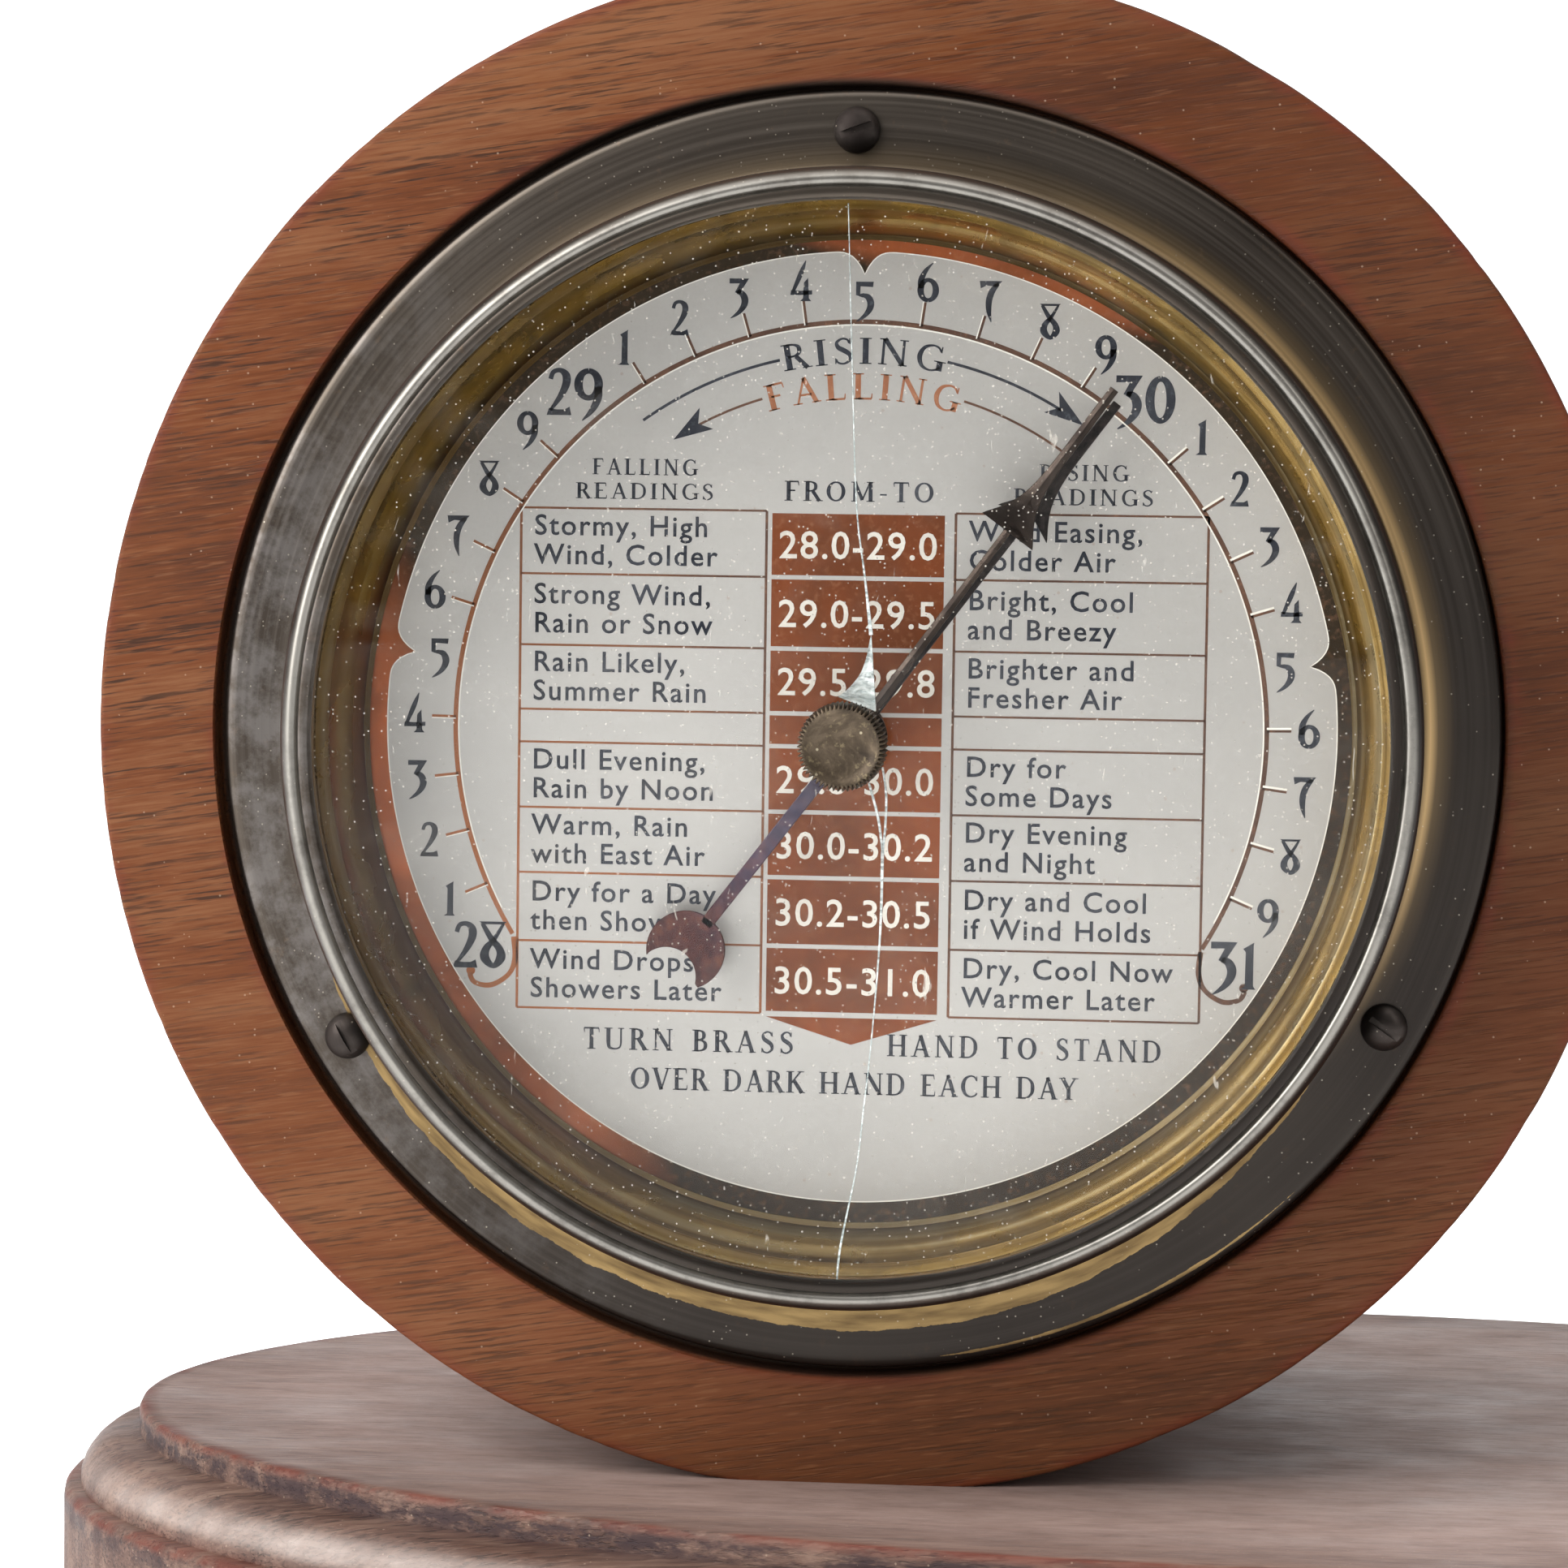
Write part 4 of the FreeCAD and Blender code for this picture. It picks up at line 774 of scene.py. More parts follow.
def make_bezel():
    """Spun bezel: rolled edge, screw flange, tall neck and a double-beaded lip."""
    front, seat, lip, edge = BEZEL_FRONT, GLASS_FRONT, BEZEL_LIP, BEZEL_RADIUS
    beads = [(lip, 0.5), (lip + 0.2, 0.12), (lip + 0.6, 0), (lip + 1.0, 0.14), (lip + 1.22, 0.62),
             (lip + 1.45, 0.34), (49.3, 0.26), (49.6, 0.38), (50.0, 0.8), (50.35, 1.5), (50.5, 2.6)]
    flange = [(50.55, -3.2), (50.62, -2.2), (50.8, -1.5), (51.15, -1.1), (51.7, -0.92),
              (52.4, -0.84), (53.2, -0.79), (53.9, -0.75), (54.6, -0.72), (55.4, -0.70),
              (56.2, -0.68), (56.9, -0.66), (57.4, -0.62), (57.75, -0.52), (58.0, -0.3)]
    inside = [(edge, 0.1), (edge, BEZEL_BACK), (edge - 1.0, BEZEL_BACK), (edge - 1.0, 1.0),
              (edge - 2.2, 0.6), (52.4, 0.5), (50.8, 0.2), (49.6, -1.0), (49.6, seat)]
    profile = [(lip, seat)] + [(r, front + below) for r, below in beads] + flange + inside
    bezel = piece("spun_bezel", lathe(profile), "bronzed_brass", ("bezel",), 40)

    bead_crest, rolled_edge, neck_foot = 49.2, 57.35, 51.6

    def polar(u, v):
        """Radius, and the angle clockwise from the top in degrees."""
        return math.hypot(u, v), math.degrees(math.atan2(u, v)) % 360

    def worn(u, w, v):
        """Bare brass: a patch that widens at the lower side, and a line on the rolled edge."""
        radius, angle = polar(u, v)
        reach = 51.2 + 3.4 * ease(angle, 108, 176) * (1 - ease(angle, 215, 285))
        inner = (1 - ease(radius, reach - 0.7, reach + 0.7)) * ease(reach, 51.3, 52.0)
        line = (1 - ease(abs(radius - rolled_edge), 0.1, 0.32)) * ease(angle, 118, 150)
        line *= 1 - ease(angle, 166, 178)
        return max(inner, 0.8 * line) if w > -3 else 0.0

    def rubbed(u, w, v):
        """The front bead, polished by hands, and lightened as a painted highlight."""
        crest = 1 - ease(abs(math.hypot(u, v) - bead_crest), 0.4, 0.7)
        return crest * (1 - ease(w, front + 1, front + 2))

    def seam(u, w, v):
        """Painted shade on the neck's outer wall and its foot, and on the rim that sits in the recess.
        """
        radius = math.hypot(u, v)
        neck = ease(radius, 50.05, 50.4) * (1 - ease(radius, 50.9, neck_foot))
        return max(0.8 * neck * ease(w, front + 1, front + 3), ease(radius, 57.9, 58.1))

    def warm(u, w, v):
        """Painted reflection: a gold glow along the neck's foot, at the upper right."""
        radius, angle = polar(u, v)
        turn = ease(angle, 8, 45) * (1 - ease(angle, 80, 125))
        crown = 0.14 * max(1 - ease(angle, 20, 60), ease(angle, 300, 340))
        line = 1 - ease(abs(radius - neck_foot), 0.1, 0.9)
        fade = ease(radius, 50.8, 51.3) * (1 - ease(radius, 51.4, 54.2))
        return max(turn * line, (0.28 * turn + crown) * fade)

    mark(bezel, worn=worn, warm=warm, rubbed=rubbed, seam=seam)


def cut_slot(thing, place, length, width, depth, angle):
    """Sinks a straight slot into the front of a screw head."""
    half_long, half_wide = length / 2, width / 2
    points, faces = [], []
    outline = turned(oblong(-half_long, -half_wide, half_long, half_wide), angle, place[::2])
    add_prism(points, faces, outline, place[1] - 3, place[1] + depth)
    cutter = new_object("slot_cutter", new_mesh("slot_cutter", points, faces))
    boolean = thing.modifiers.new("slot", "BOOLEAN")
    boolean.operation = "DIFFERENCE"
    boolean.object = cutter
    shape = shaped_mesh(thing)
    thing.modifiers.remove(boolean)
    bpy.data.objects.remove(cutter)
    thing.data = shape
    shade(shape, 35)


def make_bezel_screws():
    """Three round-head screws, crusted and each slotted its own way."""
    head, head_front, head_back = 2.1, -2.5, -1.0
    shank, tip_from, tip = 1.3, 10.0, 12.0
    ring, slot_width, slot_depth = 54.5, 0.55, 0.5
    for number, (angle, slot_angle) in enumerate(((-0.7, -20), (117.9, 35), (238.4, 60)), 1):
        u, v = clock(angle, ring)
        dome = [(0, head_front), (0.6, -2.45), (1.15, -2.28), (1.6, -1.98), (1.95, -1.55),
                (head, -1.2), (head, head_back), (shank, head_back), (shank, tip_from), (0.05, tip)]
        points, faces = lathe(dome, 48)
        points = [(x + u, w, z + v) for x, w, z in points]
        screw = piece(f"bezel_screw_{number}", (points, faces), "dark_steel", ("bezel_screws",))
        cut_slot(screw, (u, head_front, v), 2 * head + 1, slot_width, slot_depth, slot_angle)


def make_glass():
    """Pane with a ground edge and a centre hole, and the crack that runs through it."""
    hole = 2.3
    edge, ground = GLASS_RADIUS, 0.3
    pane = [(hole, GLASS_FRONT), (edge - ground, GLASS_FRONT), (edge, GLASS_FRONT + ground),
            (edge, GLASS_BACK - ground), (edge - ground, GLASS_BACK), (hole, GLASS_BACK)]
    piece("cracked_pane", lathe(pane), "glass", ("glass",))

    broken = fracture()
    front, back = GLASS_FRONT + 0.05, GLASS_FRONT + 0.7
    # each run of the crack has stations (u, v, half width)
    runs = [
        [(-0.45, 47.2, 0.03), (0.1, 33, 0.035), (0.65, 21, 0.05), (1.5, 14.5, 0.08),
         (2.1, 9.6, 0.16)],
        [(2.1, -3.4, 0.08), (2.95, -6.4, 0.10), (3.4, -9.4, 0.09)],
        [(3.3, -2.0, 0.08), (3.65, -4.6, 0.09), (3.6, -7.4, 0.09), (3.4, -9.6, 0.10)],
        [(3.4, -9.4, 0.13), (3.3, -16.7, 0.09), (2.7, -25.8, 0.05), (2.1, -32, 0.06),
         (1.5, -37.6, 0.05), (0.2, -44.6, 0.09), (-0.1, -48.4, 0.06)],
    ]
    points, faces = [], []
    for run in runs:
        add_ribbon(points, faces, spline(run), front, back)
    piece("glass_crack", (points, faces), "glass", material=broken)

    # the shell-shaped break beside the knob rises as thin, uneven ledges
    tip, heel = Vector((2.1, 9.7)), Vector((2.62, 2.9))
    left = spline([(2.0, 9.2), (1.7, 7.6), (1.2, 6.2), (0.3, 5.0), (-0.75, 4.1)], 5)
    points, faces = [], []
    rows, columns = len(left), 7
    for row, (x, y) in enumerate(left):
        right = tip.lerp(heel, row / (rows - 1))
        for column in range(columns):
            share = column / (columns - 1)
            ledge = 0.16 * noise.noise(Vector((share * 4, row * 0.7, 3.0)))
            hollow = 0.35 * math.sin(math.pi * share)
            points.append((mix(x, right.x, share), front + hollow * 0.6 + ledge + 0.18,
                           mix(y, right.y, share)))
    top = len(points)
    points += [(u, back + 0.35, v) for u, w, v in points]
    for row in range(rows - 1):
        for column in range(columns - 1):
            a = row * columns + column
            quad = (a, a + 1, a + columns + 1, a + columns)
            faces.append(quad)
            faces.append(tuple(top + i for i in reversed(quad)))
    rim = list(range(columns)) + [r * columns + columns - 1 for r in range(1, rows)]
    rim += [(rows - 1) * columns + c for c in reversed(range(columns - 1))]
    rim += [r * columns for r in reversed(range(1, rows - 1))]
    for a, b in zip(rim, rim[1:] + rim[:1]):
        faces.append((a, b, top + b, top + a))
    piece("glass_flake", (points, faces), "glass", sharp=12, material=broken)


def make_surround():
    """Brass cone between the glass and the dial, with a fine bead at its foot."""
    front, back, gauge = SURROUND_FRONT, SURROUND_BACK, 0.6
    mouth = BEZEL_LIP + 0.2
    inner = [(mouth, front)]
    for share in (0.12, 0.2, 0.24, 0.5, 0.8, 0.92):
        dip = 0.18 if share == 0.2 else 0.0
        inner.append((mix(mouth, DIAL_EDGE, share) - dip, mix(front, back, share)))
    profile = inner + [(DIAL_EDGE - 0.25, back - 0.5), (DIAL_EDGE, back), (GLASS_RADIUS, back),
                       (GLASS_RADIUS, back - gauge), (DIAL_EDGE + gauge, back - gauge),
                       (mouth + gauge, front + gauge), (GLASS_RADIUS, front + gauge),
                       (GLASS_RADIUS, front)]
    cone = piece("brass_cone", lathe(profile), "polished_brass", ("dial_surround",), 25)
    # foot: painted shade where the cone meets the dial
    mark(cone, foot=lambda u, w, v: ease(w, back - 4.5, back - 0.6))


# ------------------------------------------------------------------ dial print

class Print:
    """A thin layer of print on the dial, gathered into one mesh."""

    def __init__(self, rise, sunk=0.0):
        self.points, self.faces = [], []
        self.front, self.back = DIAL_FRONT - rise, DIAL_FRONT - sunk

    def area(self, outline):
        add_prism(self.points, self.faces, outline, self.front, self.back)

    def stroke(self, run, closed=False):
        add_ribbon(self.points, self.faces, run, self.front, self.back, closed)

    def line(self, points, half, closed=False):
        self.stroke([(x, y, half) for x, y in points], closed)

    def arc(self, radius, start, end, half):
        pitch = 1.5
        count = max(2, int(abs(end - start) / pitch))
        self.line([clock(mix(start, end, i / count), radius) for i in range(count + 1)], half)

    def glyph(self, shape, place, size, angle=0.0, stretch=1.0):
        """Draws a shape made of strokes (x, y, half width) and flat areas (x, y)."""
        for part in shape:
            wide = [(p[0] * stretch, *p[1:]) for p in part]
            if len(part[0]) == 2:
                self.area(turned(wide, angle, place, size))
            else:
                run = spline(wide, 5)
                spots = turned([p[:2] for p in run], angle, place, size)
                self.stroke([(*spot, p[2] * size) for spot, p in zip(spots, run)])

    def words(self, text, place, size, gap=1.0, align="LEFT", heavy=0.03):
        """Plain sans lettering in the built-in face, its baseline at place."""
        curve = bpy.data.curves.new("lettering", "FONT")
        curve.body, curve.size, curve.align_x = text, size, align
        curve.space_character, curve.resolution_u, curve.offset = gap, 3, heavy
        curve.extrude = (self.back - self.front) / 2
        holder = new_object("lettering", curve)
        mesh = shaped_mesh(holder)
        base, depth = len(self.points), (self.front + self.back) / 2
        self.points += [(v.co.x + place[0], depth - v.co.z, v.co.y + place[1])
                        for v in mesh.vertices]
        self.faces += [tuple(base + i for i in face.vertices) for face in mesh.polygons]
        bpy.data.objects.remove(holder)
        bpy.data.curves.remove(curve)
        bpy.data.meshes.remove(mesh)

    def build(self, name, material):
        shifted = [Vector(p) + PRINT_SHIFT for p in self.points]
        piece(name, (shifted, self.faces), "dial_metal", material=material)


def ring_stroke(x, y, wide, high, side, cap):
    """An upright oval drawn as one stroke, thick at its sides and thin at its ends."""
    run = []
    for step in range(17):
        turn = math.tau * step / 16
        half = mix(cap, side, math.sin(turn) ** 2)
        run.append((x + wide * math.sin(turn), y + high * math.cos(turn), half))
    return run


# Numerals in units of their height, from the lower left corner
BOWL = [(0.22, 0.62, 0.05), (0.36, 0.57, 0.085), (0.44, 0.42, 0.10), (0.42, 0.25, 0.09),
        (0.31, 0.08, 0.065), (0.17, -0.04, 0.04), (0.04, -0.12, 0.012)]
NINE = [ring_stroke(0.30, 0.655, 0.215, 0.285, 0.092, 0.058),
        [(0.51, 0.60, 0.08), (0.50, 0.36, 0.085), (0.37, 0.10, 0.06), (0.17, -0.11, 0.012)]]
NUMERALS = {
    "0": [ring_stroke(0.31, 0.5, 0.22, 0.44, 0.096, 0.06)],
    "1": [[(0.29, 1.0), (0.055, 0.86), (0.11, 0.79), (0.10, 0.07), (0.0, 0.0), (0.33, 0.0),
           (0.275, 0.07), (0.275, 0.94)]],
    "2": [[(0.08, 0.76, 0.05), (0.14, 0.91, 0.05), (0.29, 0.945, 0.052), (0.41, 0.84, 0.085),
           (0.41, 0.65, 0.085), (0.28, 0.38, 0.06), (0.08, 0.10, 0.03)],
          [(0.0, 0.0), (0.05, 0.15), (0.20, 0.12), (0.38, 0.12), (0.49, 0.18), (0.53, 0.0)]],
    "3": [[(0.0, 1.0), (0.555, 1.0), (0.366, 0.70), (0.30, 0.55), (0.155, 0.607), (0.29, 0.86),
           (0.0, 0.855)], BOWL],
    "4": [[(0.43, 1.14, 0.012), (0.30, 0.80, 0.07), (0.07, 0.25, 0.045)],
          [(0.0, 0.17), (0.02, 0.31), (0.30, 0.29), (0.62, 0.31), (0.62, 0.19), (0.30, 0.17)],
          [(0.38, 0.52), (0.50, 0.66), (0.53, 0.08), (0.60, 0.0), (0.28, 0.0), (0.36, 0.08)]],
    "5": [[(0.02, 1.0), (0.52, 1.0), (0.50, 0.85), (0.15, 0.87), (0.14, 0.66), (0.25, 0.68),
           (0.22, 0.55), (0.02, 0.62)], BOWL],
    "7": [[(0.0, 1.0), (0.64, 1.0), (0.50, 0.84), (0.20, 0.87), (0.03, 0.79)],
          [(0.53, 0.93, 0.05), (0.36, 0.72, 0.085), (0.27, 0.45, 0.09), (0.27, 0.14, 0.07),
           (0.34, -0.16, 0.01)]],
    "8": [[(0.04, 0.96, 0.045), (0.23, 0.64, 0.065), (0.41, 0.42, 0.08), (0.44, 0.22, 0.10),
           (0.28, 0.05, 0.058), (0.10, 0.22, 0.10), (0.13, 0.42, 0.08), (0.31, 0.64, 0.05),
           (0.50, 0.96, 0.03)],
          [(-0.03, 1.0), (0.57, 1.0), (0.50, 0.94), (0.05, 0.94)]],
    "9": NINE,
    "6": [[(0.60 - p[0], 1.0 - p[1]) + tuple(p[2:]) for p in part] for part in NINE],
}
NUMERAL_WIDTHS = {"0": 0.62, "1": 0.33, "2": 0.53, "3": 0.56, "4": 0.62, "5": 0.53, "6": 0.6,
                  "7": 0.62, "8": 0.54, "9": 0.6}

THICK, THIN, SERIF = 0.088, 0.04, 0.045    # half widths of strokes, and a serif's height


def stem(x, top=1.0, foot=0.0, half=THICK, serifs="both"):
    """An upright of a serif capital, with flat serifs at its ends."""
    parts = [oblong(x - half, foot, x + half, top)]
    reach = half + 0.09
    if serifs in ("both", "foot"):
        parts.append(oblong(x - reach, foot, x + reach, foot + SERIF))
    if serifs in ("both", "top"):
        parts.append(oblong(x - reach, top, x + reach, top - SERIF))
    return parts


def slant(a, b, half, serifs=""):
    """A sloping stroke of a serif capital, from a to b."""
    parts = [[(*a, half), (*b, half)]]
    for letter, (x, y) in (("a", a), ("b", b)):
        if letter in serifs:
            parts.append(oblong(x - 0.15, y, x + 0.15, y + (SERIF if y < 0.5 else -SERIF)))
    return parts


def bar(y, start, end, tick=0.0):
    """A thin level stroke, with a short upright tick at its end."""
    parts = [oblong(start, y - THIN, end, y + THIN)]
    if tick:
        parts.append([(end - 0.03, y), (end + 0.02, y), (end + 0.03, y + tick), (end, y + tick)])
    return parts


def bowl(x, high, low, reach):
    """The round side of B, D, P or R, from the stem at x and back to it."""
    middle, tall = (high + low) / 2, (high - low) / 2
    return [[(x, high, THIN), (mix(x, reach, 0.55), high - 0.02, THIN),
             (mix(x, reach, 0.92), middle + tall * 0.55, THICK * 0.8), (reach, middle, THICK),
             (mix(x, reach, 0.92), middle - tall * 0.55, THICK * 0.8),
             (mix(x, reach, 0.55), low + 0.02, THIN), (x, low, THIN)]]


CURVE_C = [(0.74, 0.78, THIN), (0.64, 0.93, THIN), (0.45, 0.975, THIN), (0.22, 0.84, THICK * 0.8),
           (0.12, 0.5, THICK * 1.1), (0.22, 0.16, THICK * 0.8), (0.45, 0.025, THIN),
           (0.66, 0.08, THIN), (0.76, 0.2, THIN)]
# Serif capitals: width, then parts
CAPITALS = {
    "A": (0.84, slant((0.12, 0), (0.41, 1.0), THIN, "a") + slant((0.40, 1.0), (0.72, 0), THICK, "b")
          + bar(0.34, 0.24, 0.60)),
    "B": (0.70, stem(0.17) + bowl(0.17, 0.97, 0.53, 0.50) + bowl(0.17, 0.53, 0.03, 0.57)),
    "C": (0.82, [CURVE_C] + stem(0.75, 0.98, 0.74, 0.02, "")),
    "D": (0.88, stem(0.17) + bowl(0.17, 0.97, 0.03, 0.74)),
    "E": (0.70, stem(0.17) + bar(0.97, 0.17, 0.60, -0.2) + bar(0.52, 0.17, 0.46)
          + bar(0.03, 0.17, 0.64, 0.2)),
    "F": (0.64, stem(0.17) + bar(0.97, 0.17, 0.60, -0.2) + bar(0.52, 0.17, 0.46)),
    "G": (0.88, [CURVE_C] + stem(0.75, 0.42, 0.04, THICK, "top") + stem(0.75, 0.98, 0.74, 0.02, "")),
    "H": (0.90, stem(0.17) + stem(0.73) + bar(0.5, 0.17, 0.73)),
    "I": (0.34, stem(0.17)),
    "K": (0.82, stem(0.17) + slant((0.66, 1), (0.22, 0.44), THIN, "a")
          + slant((0.34, 0.58), (0.72, 0), THICK, "b")),
    "L": (0.66, stem(0.17) + bar(0.03, 0.17, 0.60, 0.2)),
    "M": (1.04, stem(0.16, half=THIN) + stem(0.88) + slant((0.18, 1), (0.52, 0.08), THICK)
          + slant((0.52, 0.08), (0.86, 1), THIN)),
    "N": (0.92, stem(0.16, half=THIN) + stem(0.76, half=THIN) + slant((0.18, 1), (0.76, 0.02), THICK)),
    "O": (0.90, [ring_stroke(0.45, 0.5, 0.33, 0.465, THICK * 1.1, THIN)]),
    "R": (0.78, stem(0.17) + bowl(0.17, 0.97, 0.50, 0.53) + slant((0.40, 0.5), (0.70, 0), THICK, "b")),
    "S": (0.62, [[(0.50, 0.80, THIN), (0.44, 0.94, THIN), (0.28, 0.975, THIN),
                  (0.13, 0.84, THICK * 0.7), (0.17, 0.65, THICK), (0.33, 0.53, THICK * 1.1),
                  (0.49, 0.38, THICK), (0.51, 0.17, THICK * 0.7), (0.34, 0.025, THIN),
                  (0.16, 0.06, THIN), (0.09, 0.2, THIN)]] + stem(0.52, 0.98, 0.76, 0.018, "")
          + stem(0.08, 0.24, 0.02, 0.018, "")),
    "T": (0.72, stem(0.36, serifs="foot") + bar(0.97, 0.36, 0.68, -0.2)
          + bar(0.97, 0.36, 0.04, -0.2)),
    "U": (0.88, stem(0.17, 1.0, 0.3, THICK, "top") + stem(0.72, 1.0, 0.3, THIN, "top")
          + [[(0.17, 0.32, THICK), (0.22, 0.10, THICK * 0.8), (0.44, 0.03, THIN), (0.66, 0.10, THIN),
              (0.72, 0.32, THIN)]]),
    "V": (0.80, slant((0.10, 1), (0.40, 0.0), THICK, "a") + slant((0.40, 0.0), (0.70, 1), THIN, "b")),
    "Y": (0.78, slant((0.10, 1), (0.39, 0.48), THICK, "a") + slant((0.39, 0.48), (0.68, 1), THIN, "b")
          + stem(0.39, 0.5, 0.0, THICK, "foot")),
    "-": (0.44, bar(0.36, 0.06, 0.36)),
    " ": (0.42, []),
}


def set_capitals(layer, text, middle, height, width, radius=None):
    """Serif capitals over a given width, level or, with a radius, along an arc."""
    widest, usual_gap = 1.42, 0.22
    natural = sum(CAPITALS[letter][0] for letter in text) * height
    gaps = max(1, len(text) - 1)
    stretch = min(widest, max(1.0, (width - usual_gap * height * gaps) / natural))
    gap = (width - natural * stretch) / gaps
    along = -width / 2
    for letter in text:
        advance, shape = CAPITALS[letter]
        advance *= stretch
        if radius:
            angle = middle + math.degrees((along + advance * height / 2) / radius)
            u, v = clock(angle, radius)
            start = turned([(-advance * height / 2, 0)], angle, (u, v))[0]
            layer.glyph(shape, start, height, angle, stretch)
        else:
            layer.glyph(shape, (middle[0] + along, middle[1]), height, 0.0, stretch)
        along += advance * height + gap


def set_number(layer, text, middle, height):
    """Upright numerals about a middle point."""
    gap = 0.06
    width = sum(NUMERAL_WIDTHS[figure] for figure in text) * height
    width += gap * height * (len(text) - 1)
    along = middle[0] - width / 2
    for figure in text:
        layer.glyph(NUMERALS[figure], (along, middle[1] - height / 2), height)
        along += (NUMERAL_WIDTHS[figure] + gap) * height


def silver_outline(angle):
    """Radius of the silvered field at an angle: a circle with three brace-shaped cusps."""
    cusp_depth, cusp_half = 2.05, 2.9
    radius = SILVER_RADIUS
    for cusp in (-81.0, 0.0, 81.0):
        away = abs((angle - cusp + 180) % 360 - 180)
        arc = math.radians(away) * SILVER_RADIUS
        radius = min(radius, SILVER_RADIUS - cusp_depth * max(0.0, 1 - arc / cusp_half) ** 3)
    return radius


def scale_parts(inked, coppered, pale):
    """The scale's arc with its curled ends, its graduation and its numerals, with painted highlights
    in pale beside the arc and ticks.
    """
    tick_half, tick_end, whole_height, tenth_height = 0.12, 39.2, 4.3, 3.2
    coppered.arc(SCALE_RADIUS, -SCALE_ENDS, SCALE_ENDS, 0.21)
    # painted highlight along the scale's arc
    pale.arc(SCALE_RADIUS - 0.29, -SCALE_ENDS + 4, SCALE_ENDS - 4, 0.06)
    for side in (-1, 1):
        curl = [(31.45 * side, -19.6, 0.24), (31.3 * side, -21.6, 0.26), (31.9 * side, -23.1, 0.22),
                (33.5 * side, -24.1, 0.24), (35.0 * side, -23.9, 0.22), (35.5 * side, -23.1, 0.24)]
        coppered.stroke(spline(curl))
        coppered.area([(35.4 * side + x, -22.8 + y) for x, y in disc(0.42, 14)])
    per_tenth = SCALE_ENDS * 2 / 30
    for tenth in range(31):
        angle = -SCALE_ENDS + per_tenth * tenth
        whole, figure = divmod(tenth, 10)
        if figure == 0:
            spot = clock(angle + (1.0 if whole == 0 else -0.4), 40.2 if whole != 2 else 39.6)
            set_number(inked, str(28 + whole), spot, whole_height)
            continue
        radius = 39.0 if figure == 5 else 40.8
        set_number(inked, str(figure), clock(angle, radius), tenth_height)
        if figure != 5:
            start, end = clock(angle, SCALE_RADIUS), clock(angle, tick_end)
            coppered.line([start, end], tick_half)
            # painted highlight beside each tick, wider towards the right
            bright = 0.05 + 0.05 * ease(angle, 20, 60)
            shift = Vector(clock(angle - 90, 0.12 + bright))
            pale.line([Vector(start) + shift, Vector(end) + shift], bright)


def arrow(layer, tip, heading):
    """Barbed arrowhead whose point is at tip; heading is clockwise from up."""
    layer.area(turned([(0, 0), (-1.15, -3.6), (0, -2.7), (1.15, -3.6)], heading, tip))


def arcs_with_words(inked, coppered, reddish):
    """The two arrowed arcs that say which way the pressure is going."""
    rising, falling, height = 34.3, 31.3, 2.35
    inked.arc(rising, -35.7, -12.8, 0.13)
    inked.arc(rising, 12.8, 31.5, 0.13)
    arrow(inked, clock(35.6, rising), 35.6 + 90)
    set_capitals(inked, "RISING", 0.0, height, 14.4, 33.2)
    coppered.arc(falling, 17.0, 36.4, 0.11)
    coppered.arc(falling, -29.0, -17.0, 0.11)
    arrow(inked, clock(-33.4, falling), -33.4 - 90)
    set_capitals(reddish, "FALLING", 0.0, height, 17.2, 30.0)


ROW_LINES = (19.8, 13.8, 7.3, 1.4, -1.6, -7.6, -13.6, -19.9, -26.1)
LEFT_BOX, RIGHT_BOX, CELLS = (-31.1, -8.6), (8.6, 31.4), (-8.1, 7.6)
SIGNS = (
    ("Stormy, High\nWind, Colder", "28.0-29.0", "Wind Easing,\nColder Air"),
    ("Strong Wind,\nRain or Snow", "29.0-29.5", "Bright, Cool\nand Breezy"),
    ("Rain Likely,\nSummer Rain", "29.5-29.8", "Brighter and\nFresher Air"),
    None,
    ("Dull Evening,\nRain by Noon", "29.8-30.0", "Dry for\nSome Days"),
    ("Warm, Rain\nwith East Air", "30.0-30.2", "Dry Evening\nand Night"),
    ("Dry for a Day,\nthen Showers", "30.2-30.5", "Dry and Cool\nif Wind Holds"),
    ("Wind Drops,\nShowers Later", "30.5-31.0", "Dry, Cool Now\nWarmer Later"),
)


def table_parts(inked, coppered, grounds, raised):
    """The table: two boxes of short weather words and a column of pressure ranges."""
    letters, figures, inset = 2.65, 3.55, 0.2
    for left, right in (LEFT_BOX, RIGHT_BOX):
        for x in (left, right):
            coppered.line([(x, ROW_LINES[-1]), (x, ROW_LINES[0])], 0.12)
        for y in ROW_LINES:
            coppered.line([(left, y), (right, y)], 0.10)
    for top, foot, words in zip(ROW_LINES, ROW_LINES[1:], SIGNS):
        grounds.area(oblong(CELLS[0], foot + inset, CELLS[1], top - inset))
        if words is None:
            continue
        middle = (top + foot) / 2
        left_words, span, right_words = words
        for start, text in ((LEFT_BOX[0], left_words), (RIGHT_BOX[0], right_words)):
            for number, line in enumerate(text.split("\n")):
                spot = start + 1.2, middle + 0.55 - letters * number
                inked.words(line, spot, letters, 1.13)
        raised.words(span, (sum(CELLS) / 2, middle - 1.25), figures, 1.08, "CENTER")
    foot = ROW_LINES[-1]
    grounds.area([(CELLS[0], foot - 0.3), (sum(CELLS) / 2, foot - 2.75), (CELLS[1], foot - 0.3)])


